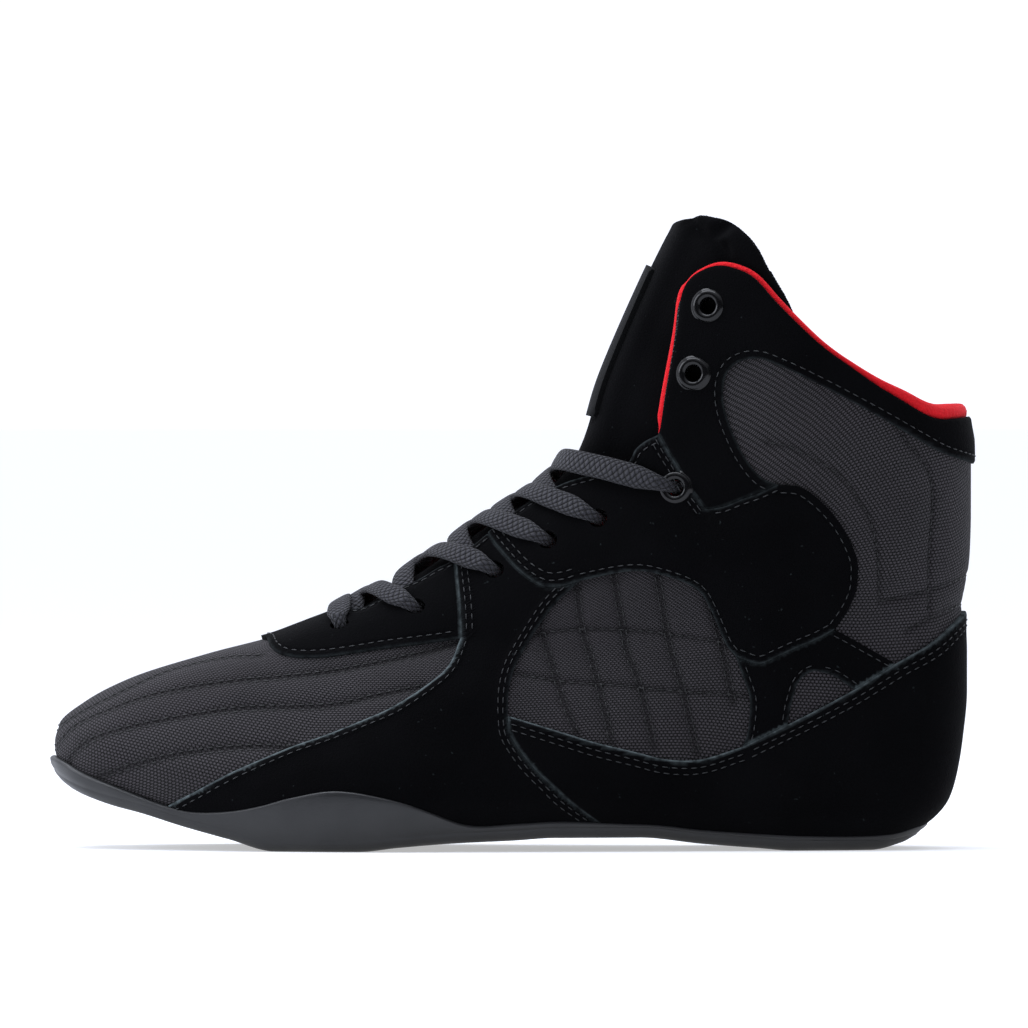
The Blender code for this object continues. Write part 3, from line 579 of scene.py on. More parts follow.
def new_piece(name, bm, material, sharp=50, replaces=(), outward=True):
    """Make an object of a bmesh, riding on the shoe."""
    if outward:
        bmesh.ops.recalc_face_normals(bm, faces=bm.faces)
    mesh = bpy.data.meshes.new(name)
    bm.to_mesh(mesh)
    bm.free()
    mesh.materials.append(material)
    mesh.shade_smooth()
    mesh.set_sharp_from_angle(angle=math.radians(sharp))
    piece = bpy.data.objects.new(name, mesh)
    bpy.context.scene.collection.objects.link(piece)
    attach(piece, "root")
    if replaces:
        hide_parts(*replaces)
    return piece


def coordinates(bm):
    return np.array([v.co[:] for v in bm.verts])


def move_to(bm, points):
    for vert, point in zip(bm.verts, points):
        vert.co = point


def set_cloth(bm, places):
    """Give each vertex's place on the flat cloth to the UV map."""
    layer = bm.loops.layers.uv.new("cloth")
    bm.verts.index_update()
    for face in bm.faces:
        for loop in face.loops:
            loop[layer].uv = places[loop.vert.index]


def grid(columns, rows):
    """Flat grid, and each vertex's shares across and up."""
    bm = bmesh.new()
    bmesh.ops.create_grid(bm, x_segments=columns, y_segments=rows, size=0.5)
    shares = coordinates(bm)[:, :2] + 0.5
    return bm, shares


def wrapped(points, cloth=None):
    """Surface through rows of points, rows closed round; points is rows by columns by 3."""
    rows, columns = points.shape[:2]
    closed = np.concatenate((points, points[:, :1]), axis=1)
    bm, shares = grid(columns, rows - 1)
    i = np.rint(shares[:, 1] * (rows - 1)).astype(int)
    j = np.rint(shares[:, 0] * columns).astype(int)
    move_to(bm, closed[i, j])
    if cloth is not None:
        set_cloth(bm, cloth(i / (rows - 1), j / columns))
    bmesh.ops.remove_doubles(bm, verts=bm.verts, dist=1e-6)
    return bm


def sliced(edge, step, rings):
    """Flat mesh inside a closed edge: rings along it, then square cells; also its map scale."""
    middle = edge.mean(axis=0)
    up, along = slopes(middle[1:], middle[:1])
    scale = np.array((np.linalg.norm(along), np.linalg.norm(up)))
    bm = bmesh.new()
    face = bm.faces.new([bm.verts.new((*(point * scale), 0)) for point in edge])
    for width in rings:
        bmesh.ops.inset_region(bm, faces=[face], thickness=width, use_even_offset=True, use_boundary=True)
    low, high = edge.min(axis=0) * scale, edge.max(axis=0) * scale
    for k, direction in enumerate(((1, 0, 0), (0, 1, 0))):
        count = int((high[k] - low[k]) / step)
        for at in np.linspace(low[k], high[k], count + 2)[1:-1]:
            spot = (at, 0, 0) if k == 0 else (0, at, 0)
            bmesh.ops.bisect_plane(bm, geom=bm.verts[:] + bm.edges[:] + bm.faces[:], dist=1e-6,
                                   plane_co=spot, plane_no=direction)
    return bm, scale


def punch(bm, scale, holes, radius):
    """Round holes in a flat panel at (angle, level) places."""
    for angle, level in holes:
        up, along = slopes(np.array([level]), np.array([angle]))
        tangents = np.column_stack((along[0] / scale[0], up[0] / scale[1]))
        centre = np.array((angle, level)) * scale

        def reach(co):
            return np.linalg.norm(tangents @ (np.array(co[:2]) - centre))
        gone = [face for face in bm.faces if reach(face.calc_center_median()) < radius]
        if not gone:
            continue
        rim = {vert for face in gone for vert in face.verts}
        bmesh.ops.delete(bm, geom=gone, context="FACES")
        for vert in rim:
            if vert.is_valid:
                shift = np.array(vert.co[:2]) - centre
                vert.co = (*(centre + shift * radius / reach(vert.co)), 0)


def edge_distances(points, edge, owners):
    """Distance of each point from the panel's edge, and the seam it is nearest to."""
    rim = form(edge[:, 1], edge[:, 0])
    following = np.roll(rim, -1, axis=0)
    parts = 4
    shares = np.arange(parts)[None, :, None] / parts
    tree = tree_of((rim[:, None] + (following - rim)[:, None] * shares).reshape(-1, 3))
    found = [tree.find(point) for point in points]
    return np.array([f[2] for f in found]), [owners[f[1] // parts] for f in found]


def slab(bm):
    """Double a flat mesh into a closed slab; its upper vertices lie at height 1."""
    for vert in bm.verts:
        vert.co.z = 0
    for item in bmesh.ops.extrude_face_region(bm, geom=bm.faces[:])["geom"]:
        if isinstance(item, bmesh.types.BMVert):
            item.co.z = 1


def laid(bm, scale, side, edge, owners, lifts):
    """Place a slab on the form. lifts gives the lower and upper lift for distance, level, angle."""
    flat = coordinates(bm)
    angle, level = flat[:, 0] / scale[0], flat[:, 1] / scale[1]
    distance, seams = edge_distances(form(level, angle), edge, owners)
    top = flat[:, 2] > 0.5
    angle = angle * side
    low, high = lifts(distance, level, angle)
    set_cloth(bm, cloth_place(level, angle))
    move_to(bm, surface(level, angle, np.where(top, high, low)))
    bm.verts.ensure_lookup_table()
    return distance, seams


def hole_places(panel_edge):
    """Angle and level of the lace holes inside an edge, with both sides for a mirrored one."""
    spots = []
    for u, v, _ in LACE_ROWS:
        level, angle = on_form([u], [v])
        for spot in ((angle[0], level[0]), (-angle[0], level[0]), (2 * math.pi - angle[0], level[0])):
            if inside(np.array([spot]), panel_edge)[0]:
                spots.append(spot)
    return spots


# Materials

def shader_material(name):
    """New material with its tree, shader and output."""
    material = bpy.data.materials.new(name)
    material.use_nodes = True
    tree = material.node_tree
    return material, tree, tree.nodes["Principled BSDF"]


def add_node(tree, kind, settings=None, inputs=None):
    """Add a node; inputs maps a socket's name or number to a value or to another node's output."""
    node = tree.nodes.new(kind)
    for key, value in (settings or {}).items():
        setattr(node, key, value)
    for key, value in (inputs or {}).items():
        if isinstance(value, bpy.types.NodeSocket):
            tree.links.new(value, node.inputs[key])
        else:
            node.inputs[key].default_value = value
    return node


def maths(tree, operation, *values):
    """A Math node's result."""
    return add_node(tree, "ShaderNodeMath", {"operation": operation}, dict(enumerate(values))).outputs[0]


def mixed(tree, share, first, second):
    """Mix of two colours."""
    node = add_node(tree, "ShaderNodeMix", {"data_type": "RGBA"}, {0: share, 6: first, 7: second})
    return node.outputs[2]


def rgba(channels, scale=1.0):
    return (*[channel * scale for channel in channels], 1)


def noise(tree, vector, size, detail=2.0):
    """Noise with grains of about the given size in metres."""
    return add_node(tree, "ShaderNodeTexNoise", None,
                    {"Vector": vector, "Scale": 1 / size, "Detail": detail}).outputs["Fac"]


def share_between(tree, value, low, high, start=0.0, stop=1.0):
    """Value mapped from low to high onto start to stop."""
    inputs = {0: value, 1: low, 2: high, 3: start, 4: stop}
    return add_node(tree, "ShaderNodeMapRange", None, inputs).outputs[0]


def attribute(tree, name):
    return add_node(tree, "ShaderNodeAttribute", {"attribute_name": name}).outputs["Fac"]


def cloth_parts(tree):
    """Across and along on the flat cloth."""
    flat = add_node(tree, "ShaderNodeUVMap", {"uv_map": "cloth"}).outputs[0]
    return add_node(tree, "ShaderNodeSeparateXYZ", None, {0: flat}).outputs


def dress(tree, shader, tint, values, *bumps):
    """Give the shader its colour, its plain values and its bumps (height, distance), one over another."""
    tree.links.new(tint, shader.inputs["Base Color"])
    for name, value in values.items():
        shader.inputs[name].default_value = value
    below = {}
    for height, distance in bumps:
        node = add_node(tree, "ShaderNodeBump", None, {"Height": height, "Distance": distance, **below})
        below = {"Normal": node.outputs[0]}
    tree.links.new(below["Normal"], shader.inputs["Normal"])


def object_place(tree):
    return add_node(tree, "ShaderNodeTexCoord").outputs["Object"]


def weave(tree, pitch):
    """Plain weave on the cloth map: 1 on the crown of a thread, 0 in the gaps."""
    parts = cloth_parts(tree)
    across = maths(tree, "DIVIDE", parts[0], pitch * 1.2)
    along = maths(tree, "DIVIDE", parts[1], pitch)
    odd = maths(tree, "FLOORED_MODULO", maths(tree, "FLOOR", along), 2.0)
    shifted = maths(tree, "ADD", across, maths(tree, "MULTIPLY", odd, 0.5))
    rib = maths(tree, "ABSOLUTE", maths(tree, "SINE", maths(tree, "MULTIPLY", along, math.pi)))
    crown = maths(tree, "ABSOLUTE", maths(tree, "SINE", maths(tree, "MULTIPLY", shifted, math.pi)))
    return maths(tree, "POWER", maths(tree, "MULTIPLY", rib, crown), 0.7)


def canvas_material():
    """Cotton duck: dull, with a coarse plain weave whose gaps are darker than its threads by painted shade,
    and with painted shade in the quilting's dips.
    """
    material, tree, shader = shader_material("cotton duck canvas, plain weave")
    threads = weave(tree, sizes().thread_pitch)
    place = object_place(tree)
    worn = noise(tree, place, 14 * MM)
    fluff = noise(tree, place, 0.5 * MM, 3.0)
    light = mixed(tree, worn, rgba(colours().canvas, 0.95), rgba(colours().canvas, 1.4))
    # Painted shade: the gaps between the weave's threads are darkened almost to black.
    shade = share_between(tree, threads, 0.3, 0.82)
    tinted = mixed(tree, shade, rgba(colours().canvas, 0.03), light)
    # Painted shade along the quilting: the dip attribute darkens the canvas where its rows draw it in.
    dip = maths(tree, "MULTIPLY", attribute(tree, "dip"), 0.6)
    tinted = mixed(tree, dip, tinted, rgba(colours().canvas, 0.15))
    height = maths(tree, "ADD", threads, maths(tree, "MULTIPLY", fluff, 0.35))
    dress(tree, shader, tinted, {
        "Roughness": 0.88, "Specular IOR Level": 0.2, "Sheen Weight": 0.05, "Sheen Roughness": 0.5,
    }, (height, 0.4 * MM))
    return material


def suede_material():
    """Split-leather suede: near black, no gloss, a short nap, and a lighter raw cut edge."""
    material, tree, shader = shader_material("suede, brushed nap")
    place = object_place(tree)
    brushed = noise(tree, place, 22 * MM, 3.0)
    nap = noise(tree, place, 0.7 * MM, 4.0)
    lint = noise(tree, place, 1.6 * MM, 1.0)
    base = mixed(tree, brushed, rgba(colours().suede, 0.7), rgba(colours().suede, 1.7))
    speck = share_between(tree, lint, 0.76, 0.80)
    speck = mixed(tree, speck, base, rgba(colours().raw_edge, 0.12))
    worn = share_between(tree, noise(tree, place, 2.5 * MM), 0.2, 0.6)
    broken = maths(tree, "MULTIPLY", attribute(tree, "raw_edge"), worn)
    tinted = mixed(tree, broken, speck, rgba(colours().raw_edge))
    dress(tree, shader, tinted, {
        "Roughness": 1.0, "Specular IOR Level": 0.03, "Sheen Weight": 0.025, "Sheen Roughness": 0.35,
    }, (nap, 0.22 * MM), (attribute(tree, "seam_dip"), 0.35 * MM))
    return material


def lining_material():
    """Polyester fleece: bright red, soft, with short fuzz that lightens at grazing angles."""
    material, tree, shader = shader_material("polyester fleece, knitted")
    place = object_place(tree)
    fuzz = noise(tree, place, 0.9 * MM, 4.0)
    cloud = noise(tree, place, 9 * MM)
    shade = mixed(tree, fuzz, rgba(colours().lining, 0.7), rgba(colours().lining, 1.15))
    tinted = mixed(tree, maths(tree, "MULTIPLY", cloud, 0.3), shade, rgba(colours().lining, 0.8))
    dress(tree, shader, tinted, {
        "Roughness": 0.95, "Specular IOR Level": 0.2, "Sheen Weight": 0.35,
        "Sheen Tint": rgba(linear("#ff6a70")), "Sheen Roughness": 0.5}, (fuzz, 0.5 * MM))
    return material


def rubber_material():
    """Moulded rubber: dark grey, satin, with a fine grain from the mould and faint scuffs."""
    material, tree, shader = shader_material("moulded rubber, satin")
    place = object_place(tree)
    grain = noise(tree, place, 0.35 * MM, 3.0)
    scuff = noise(tree, place, 12 * MM, 4.0)
    tinted = mixed(tree, scuff, rgba(colours().rubber, 0.85), rgba(colours().rubber, 1.2))
    rough = share_between(tree, scuff, 0.3, 0.7, 0.42, 0.58)
    tree.links.new(rough, shader.inputs["Roughness"])
    dress(tree, shader, tinted, {}, (grain, 0.05 * MM))
    return material


def plate_material():
    """Cast rubber plate: grey, with a fine matt grain."""
    material, tree, shader = shader_material("cast rubber, matt")
    place = object_place(tree)
    grain = noise(tree, place, 0.8 * MM, 3.0)
    tinted = mixed(tree, grain, rgba(linear("#050506")), rgba(linear("#0c0d0e")))
    dress(tree, shader, tinted, {"Roughness": 0.8, "Specular IOR Level": 0.1}, (grain, 0.12 * MM))
    return material


def enamel_material():
    """Enamelled steel: gloss black over metal, with sharp highlights."""
    material, tree, shader = shader_material("enamelled steel, gloss black")
    place = object_place(tree)
    wear = noise(tree, place, 1.2 * MM, 3.0)
    tinted = mixed(tree, wear, rgba(colours().enamel, 0.8), rgba(colours().enamel, 1.6))
    dress(tree, shader, tinted, {
        "Roughness": 0.16, "Specular IOR Level": 0.25, "Coat Weight": 0.08, "Coat Roughness": 0.05,
    }, (wear, 0.02 * MM))
    return material


def lace_material():
    """Flat braided polyester: grey-black yarns crossing on the slant, dull with a slight sheen, with painted
    shade in the gaps between the yarns.
    """
    material, tree, shader = shader_material("flat braid, polyester")
    parts = cloth_parts(tree)
    yarn = 1.7 * MM
    across = maths(tree, "DIVIDE", parts[0], yarn)
    along = maths(tree, "DIVIDE", parts[1], yarn * 1.25)
    first = maths(tree, "SINE", maths(tree, "MULTIPLY", maths(tree, "ADD", across, along), math.pi))
    second = maths(tree, "SINE", maths(tree, "MULTIPLY", maths(tree, "SUBTRACT", across, along), math.pi))
    yarns = maths(tree, "POWER", maths(tree, "ABSOLUTE", maths(tree, "MULTIPLY", first, second)), 0.5)
    place = object_place(tree)
    fluff = noise(tree, place, 0.45 * MM, 3.0)
    # Painted shade: the gaps between the yarns are darkened almost to black.
    shade = share_between(tree, yarns, 0.2, 0.8)
    light = mixed(tree, fluff, rgba(colours().lace, 0.75), rgba(colours().lace, 1.35))
    tinted = mixed(tree, shade, rgba(colours().lace, 0.06), light)
    height = maths(tree, "ADD", yarns, maths(tree, "MULTIPLY", fluff, 0.3))
    dress(tree, shader, tinted, {
        "Roughness": 0.82, "Specular IOR Level": 0.2, "Sheen Weight": 0.08}, (height, 0.8 * MM))
    return material


def thread_material(name, fibre):
    """Bonded nylon thread: slightly glossy, twisted from finer yarns."""
    material, tree, shader = shader_material(name)
    place = object_place(tree)
    twist = noise(tree, place, 0.3 * MM)
    tinted = mixed(tree, twist, rgba(fibre, 0.6), rgba(fibre, 1.5))
    dress(tree, shader, tinted, {"Roughness": 0.5}, (twist, 0.08 * MM))
    return material


MAKERS = {
    "canvas": canvas_material,
    "suede": suede_material,
    "lining": lining_material,
    "rubber": rubber_material,
    "plate": plate_material,
    "enamel": enamel_material,
    "lace": lace_material,
    "thread": lambda: thread_material("bonded thread, grey-black", colours().thread),
    "quilting": lambda: thread_material("bonded thread, black", colours().quilt_thread),
}
MADE = {}


def finish_of(kind):
    """The material of a kind, made once."""
    if kind not in MADE:
        MADE[kind] = MAKERS[kind]()
    return MADE[kind]


# Stitches

# Quilting stitches: how far out of the dip they lie, and how much wider they are
QUILT_THREAD_LIFT, QUILT_THREAD_WIDTH = 0.08 * MM, 1.45
# From the middle of a double row to each of its lines, and the stitches' place in the dip
DOUBLE_ROWS = (-0.85 * MM, 0.85 * MM)
DOUBLE_SINK, SINGLE_SINK = 0.66, 0.7


def quilt_calm(angle):
    """How strongly the quilting draws the canvas in: less at the toe's ridge and the heel's spine."""
    turned = np.abs(angle)
    return 1 - 0.5 * fade(2.4, 3.0, turned) - 0.7 * (1 - fade(0.15, 0.9, turned))


def stitch_row(bm, line, lift, quilted=False):
    """Stitches along a map line on both sides of the shoe; quilted ones follow the drawn-in canvas."""
    spots = spaced(line, sizes().stitch_pitch / 2, 3)
    width = sizes().stitch_width
    if quilted:
        lift = lift * quilt_calm(spots[:, 0]) + QUILT_THREAD_LIFT
        width *= QUILT_THREAD_WIDTH
    for side in (OUTER, INNER):
        points = surface(spots[:, 1], spots[:, 0] * side, lift)
        outs = normals(spots[:, 1], spots[:, 0] * side)
        for k in range(1, len(points) - 1, 2):
            along = Vector(points[k + 1] - points[k - 1]).normalized()
            out = Vector(outs[k])
            across = out.cross(along).normalized()
            axes = (along * sizes().stitch_length / 2, across * width / 2, out * width / 2)
            turn = Matrix(axes).transposed().to_4x4()
            turn.translation = points[k]
            bmesh.ops.create_icosphere(bm, subdivisions=1, radius=1.0, matrix=turn)


def moved_over(line, distance):
    """A map line moved sideways over the form."""
    up, along = slopes(line[:, 1], line[:, 0])
    ahead = np.gradient(form(line[:, 1], line[:, 0]), axis=0)
    shifts = unit(np.cross(np.cross(along, up), ahead)) * distance
    return line + np.array([
        np.linalg.lstsq(np.column_stack(basis), shift, rcond=None)[0]
        for *basis, shift in zip(along, up, shifts)])


def beside(line, edge, distance):
    """A map line moved towards the inside of a closed edge, where it lies inside."""
    tries = [moved_over(line, distance), moved_over(line, -distance)]
    hits = [inside(moved, edge) for moved in tries]
    best = int(hits[1].sum() > hits[0].sum())
    return tries[best][hits[best]]


# Operators

# Lamps: name, place, size in metres, power in watts
LAMPS = (
    ("key", (-0.9, -1.3, 1.6), 1.4, 1.6),
    ("left", (-1.75, -0.3, 0.9), 1.0, 14),
    ("right", (1.5, -0.9, 1.0), 1.0, 0.5),
    ("top", (-0.5, 0.1, 1.9), 1.6, 34),
)
LAMP_COLOUR = (0.88, 0.92, 1.0)
SKY_COLOUR = (0.94, 0.97, 1.08, 1)
# Strength of the sky where it is bright, and in front of the shoe
BRIGHT, DIM = 1.15, 0.08
# The lit table: half its side in metres, and its glow
TABLE_HALF, TABLE_GLOW = 14.0, 0.45
# The camera: distance in metres, angle above level, and sensor width in mm
CAMERA_DISTANCE, CAMERA_RISE, SENSOR = 6.0, math.radians(0.8), 36.0


class SHOE_OT_stage(bpy.types.Operator):
    """Lit white table, soft studio lights and the camera."""
    bl_idname = "shoe.stage"
    bl_label = "Stage"
    bl_options = {"REGISTER", "UNDO"}

    def execute(self, context):
        self.table()
        self.sky()
        for lamp in LAMPS:
            self.light(*lamp)
        self.camera()
        bpy.context.scene.view_settings.view_transform = "Standard"
        return {"FINISHED"}

    def table(self):
        bm = bmesh.new()
        bmesh.ops.create_grid(bm, x_segments=1, y_segments=1, size=TABLE_HALF)
        mesh = bpy.data.meshes.new("floor")
        bm.to_mesh(mesh)
        bm.free()
        floor = bpy.data.objects.new("floor", mesh)
        bpy.context.scene.collection.objects.link(floor)
        material, _, shader = shader_material("opal table, lit from within")
        shader.inputs["Base Color"].default_value = rgba(linear("#c9ccd2"))
        shader.inputs["Roughness"].default_value = 0.9
        shader.inputs["Emission Color"].default_value = (1, 1, 1, 1)
        shader.inputs["Emission Strength"].default_value = TABLE_GLOW
        mesh.materials.append(material)

    def sky(self):
        """Bright behind the shoe, on its toe's side and overhead, dim elsewhere; white to the camera."""
        world = bpy.data.worlds.new("studio")
        world.use_nodes = True
        tree = world.node_tree
        background = tree.nodes["Background"]
        background.inputs[0].default_value = SKY_COLOUR
        ways = add_node(tree, "ShaderNodeSeparateXYZ", None, {
            0: add_node(tree, "ShaderNodeTexCoord").outputs["Generated"]}).outputs
        way = maths(tree, "SUBTRACT", ways[1], maths(tree, "MULTIPLY", ways[0], 0.4))
        behind = share_between(tree, way, -0.3, 0.25, DIM, BRIGHT)
        above = share_between(tree, ways[2], 0.42, 0.92, 0.0, BRIGHT)
        seen = add_node(tree, "ShaderNodeLightPath").outputs["Is Camera Ray"]
        strength = maths(tree, "MAXIMUM", behind, above)
        strength = maths(tree, "MAXIMUM", strength, maths(tree, "MULTIPLY", seen, BRIGHT))
        tree.links.new(strength, background.inputs[1])
        bpy.context.scene.world = world

    def light(self, name, place, size, power):
        data = bpy.data.lights.new(name, "AREA")
        data.color = LAMP_COLOUR
        data.shape = "SQUARE"
        data.size = size
        data.energy = power
        lamp = bpy.data.objects.new(name, data)
        lamp.location = place
        aim = Vector((place_x(50), 0, place_z(45))) - Vector(place)
        lamp.rotation_euler = aim.to_track_quat("-Z", "Y").to_euler()
        bpy.context.scene.collection.objects.link(lamp)

    def camera(self):
        """Long lens, almost level, so that the frame covers the photo's width at the shoe."""
        centre = Vector(((PHOTO_SIZE / 2 - PHOTO_ORIGIN[0]) * PIXEL, 0,
                         (PHOTO_ORIGIN[1] - PHOTO_SIZE / 2) * PIXEL))
        data = bpy.data.cameras.new("camera")
        data.sensor_width = SENSOR
        data.lens = SENSOR * CAMERA_DISTANCE / (PHOTO_SIZE * PIXEL)
        camera = bpy.data.objects.new("camera", data)
        back = Vector((0, -math.cos(CAMERA_RISE), math.sin(CAMERA_RISE)))
        camera.location = centre + back * CAMERA_DISTANCE
        camera.rotation_euler = (centre - camera.location).to_track_quat("-Z", "Y").to_euler()
        bpy.context.scene.collection.objects.link(camera)
        bpy.context.scene.camera = camera


def quilt_lines():
    """Quilting as map lines: those with double rows, then those with single ones."""
    doubles = [map_line(from_photo(line)) for line in VAMP_QUILT + WINDOW_QUILT]
    singles = [map_line(from_photo(line)) for line in SINGLE_QUILT]
    return doubles, singles


def quilt_gaps(points, side, lines):
    """Distance of points of the upper from the nearest quilting line."""
    spots = np.concatenate([surface(line[:, 1], line[:, 0] * side, 0) for line in lines])
    return gaps_to(spots, points)


def opening_edge(tuck):
    """Closed map edge of the upper, both sides, a little short of the throat and the collar."""
    line = np.concatenate((SEAM_LINES["throat"], SEAM_LINES["collar"][20:]))
    line = tucked(line, tuck)
    half = np.concatenate(([(0, line[0, 1])], line, [(math.pi, line[-1, 1])]))
    past, under = math.pi + 0.1, -0.1
    return np.concatenate((half[::-1] * (-1, 1), half, [
        (past, line[-1, 1]), (past, under), (-past, under), (-past, line[-1, 1])]))


# Top level of the canvas and the lining
SHEET_TOP = 1.12
# Reach within which their grid's border is drawn onto the edge, and the part round a lace hole left as it is
NEAR_EDGE, NEAR_HOLE = 4 * MM, 3.5 * MM
# Columns and rows of their grids, and how far their edge lies under the suede's
CANVAS_GRID, CANVAS_TUCK = (560, 165), 3.0 * MM
LINING_GRID, LINING_TUCK = (300, 84), 1.2 * MM


def form_sheet(columns, rows, tuck, radius):
    """Grid over the whole form, cut out at the throat and the collar: bmesh, levels and angles."""
    bm, shares = grid(columns, rows)
    angle, level = (shares[:, 0] * 2 - 1) * math.pi, shares[:, 1] * SHEET_TOP
    edge = opening_edge(tuck)
    kept = inside(np.column_stack((angle, level)), edge)
    points = form(level, angle)
    free = np.ones(len(points), bool)
    for u, v, _ in LACE_ROWS:
        spot_level, spot_angle = on_form([u], [v])
        for side in (OUTER, INNER):
            hole = form(spot_level, side * spot_angle)[0]
            gap = np.linalg.norm(points - hole, axis=1)
            kept &= gap > radius
            free &= gap > radius + NEAR_HOLE
    bm.verts.ensure_lookup_table()
    gone = [vert for vert, keep in zip(bm.verts, kept) if not keep]
    bmesh.ops.delete(bm, geom=gone, context="VERTS")
    spots, free = np.column_stack((angle, level))[kept], free[kept]
    # Draw the stepped border of the grid onto the edge
    run = run_of(edge * MAP_SCALE)
    at = np.arange(0, run[-1], 0.3 * MM)
    dense = np.column_stack([np.interp(at, run, edge[:, k]) for k in (0, 1)])
    tree = tree_of(np.column_stack((dense * MAP_SCALE, np.zeros(len(dense)))))
    for k, vert in enumerate(bm.verts):
        if vert.is_boundary and free[k]:
            _, nearby, gap = tree.find((*(spots[k] * MAP_SCALE), 0))
            if gap < NEAR_EDGE:
                spots[k] = dense[nearby]
    return bm, spots[:, 1], spots[:, 0]


# Half widths of the dip under double and single rows, and how far the canvas puffs up beside them
DOUBLE_DIP, SINGLE_DIP, PUFF_REACH = 1.5 * MM, 1.0 * MM, 7 * MM


class SHOE_OT_canvas(bpy.types.Operator):
    """Canvas of the upper, quilted in double and single rows."""
    bl_idname = "shoe.canvas"
    bl_label = "Canvas"
    bl_options = {"REGISTER", "UNDO"}

    def execute(self, context):
        bm, level, angle = form_sheet(*CANVAS_GRID, CANVAS_TUCK, sizes().hole)
        set_cloth(bm, cloth_place(level, angle))
        base = form(level, angle)
        doubles, singles = quilt_lines()
        depth = np.zeros(len(level))
        for side in (OUTER, INNER):
            mine = (np.sign(angle) == side) | (angle == 0)
            near = quilt_gaps(base[mine], side, doubles)
            thin = quilt_gaps(base[mine], side, singles)
            dip = np.exp(-(near / DOUBLE_DIP) ** 2) + 0.8 * np.exp(-(thin / SINGLE_DIP) ** 2)
            puff = 0.5 * fade(0, PUFF_REACH, np.minimum(near, thin))
            depth[mine] = puff - np.minimum(dip, 1.1)
        lift = depth * sizes().quilt_depth * fade(0.0, 0.06, level) * quilt_calm(angle)
        move_to(bm, surface(level, angle, lift))
        piece = new_piece("canvas_upper", bm, finish_of("canvas"), replaces=("upper",),
                          outward=False)
        # The dip also drives painted shade in the canvas's colour along the quilting.
        add_attribute(piece.data, "dip", np.clip(-depth, 0, 1))
        return {"FINISHED"}


# How far inside the form the fleece begins, and its thickness
LINING_DEPTH, LINING_WALL = 2.4 * MM, 1.6 * MM
# Insole rows from its middle over the edge and back: share of the way out, and rise in mm
INSOLE_ROWS = ((0.0, 3.0), (0.5, 3.0), (0.9, 3.05), (0.97, 2.9), (1.0, 2.3), (1.0, 0.2), (0.0, 0.2))


class SHOE_OT_lining(bpy.types.Operator):
    """Red fleece inside the upper, its roll over the collar's edge, and the insole."""
    bl_idname = "shoe.lining"
    bl_label = "Lining and insole"
    bl_options = {"REGISTER", "UNDO"}

    def execute(self, context):
        bm, level, angle = form_sheet(*LINING_GRID, LINING_TUCK, 2.4 * sizes().hole)
        set_cloth(bm, cloth_place(level, angle))
        move_to(bm, surface(level, angle, -LINING_DEPTH))
        bmesh.ops.remove_doubles(bm, verts=bm.verts, dist=0.02 * MM)
        for vert in bm.verts:
            vert.co.z = max(vert.co.z, 0)
        piece = new_piece("lining", bm, finish_of("lining"), outward=False)
        wall = piece.modifiers.new("wall", "SOLIDIFY")
        wall.thickness = LINING_WALL
        wall.offset = 1.0
        self.roll()
        self.insole()
        return {"FINISHED"}

    def roll(self):
        """Rolled edge from the eyelet tab round the back of the collar to the other tab."""
        line = SEAM_LINES["collar"]
        line = line[nearest(line, SEAM_LINES["tab_back"]):]
        line = line[line[:, 0] < math.pi - 0.01]
        line = np.concatenate((line, [(math.pi, line[-1, 1])]))
        step = 0.8 * MM
        line = spaced(line, step)
        whole = np.concatenate((line * (-1, 1), line[:-1][::-1]))
        points = surface(whole[:, 1], whole[:, 0], -1.2 * MM)
        outs = normals(whole[:, 1], whole[:, 0])
        ahead = unit(np.gradient(points, axis=0))
        beyond = np.cross(ahead, outs)
        beyond[np.sum(beyond * (-0.5, 0, 1), axis=1) < 0] *= -1
        back = fade(1.75, 2.5, np.abs(whole[:, 0]))
        front = fade(0.8, 0.97, np.abs(ahead[:, 2]))
        count = np.arange(len(points))
        thin = fade(0, 6 * MM, np.minimum(count, count[::-1]) * step)
        # Thicker and further out at the back and where the edge is steep, and thin at both ends
        radius = sizes().piping * (0.45 + 0.55 * thin) * (0.8 + 0.95 * back + 0.3 * front)
        shift = 0.15 * MM + 1.7 * MM * back + 0.5 * MM * front * thin
        centre = points + beyond * shift[:, None] - outs * (0.5 * MM * back)[:, None]
        turn = np.linspace(0, 2 * math.pi, 12, endpoint=False)
        ring = (beyond[:, None] * (np.cos(turn) * 1.25)[None, :, None]
                + outs[:, None] * np.sin(turn)[None, :, None])
        tube = centre[:, None] + ring * radius[:, None, None]
        bm = wrapped(tube)
        bmesh.ops.holes_fill(bm, edges=bm.edges, sides=0)
        new_piece("lining_roll", bm, finish_of("lining"))

    def insole(self):
        around = np.linspace(-math.pi, math.pi, 180, endpoint=False)
        low = surface(np.zeros_like(around), around, -2.9 * MM)
        middle = low.copy()
        middle[:, 1] = (low[:, 1] + np.roll(low[::-1, 1], 1)) / 2
        bm = wrapped(np.array([
            middle + (low - middle) * share + (0, 0, rise * MM) for share, rise in INSOLE_ROWS]))
        new_piece("insole_board", bm, finish_of("lining"), replaces=("insole",))


# The suede's edge: how far it falls over what distance, and how far the suede puffs up further in
EDGE_FALL, FALL_REACH = 0.5 * MM, 0.9 * MM
SUEDE_PUFF, SUEDE_PUFF_FADE = 0.35 * MM, (2 * MM, 12 * MM)
# Where the light of the raw edge fades, and the half width of the dip along stitches in mm
RAW_FADE = (0.2 * MM, 0.75 * MM)
STITCH_DIP = 0.7
# Gap between the form and the underside of a suede piece
UNDERLAY = 0.05 * MM


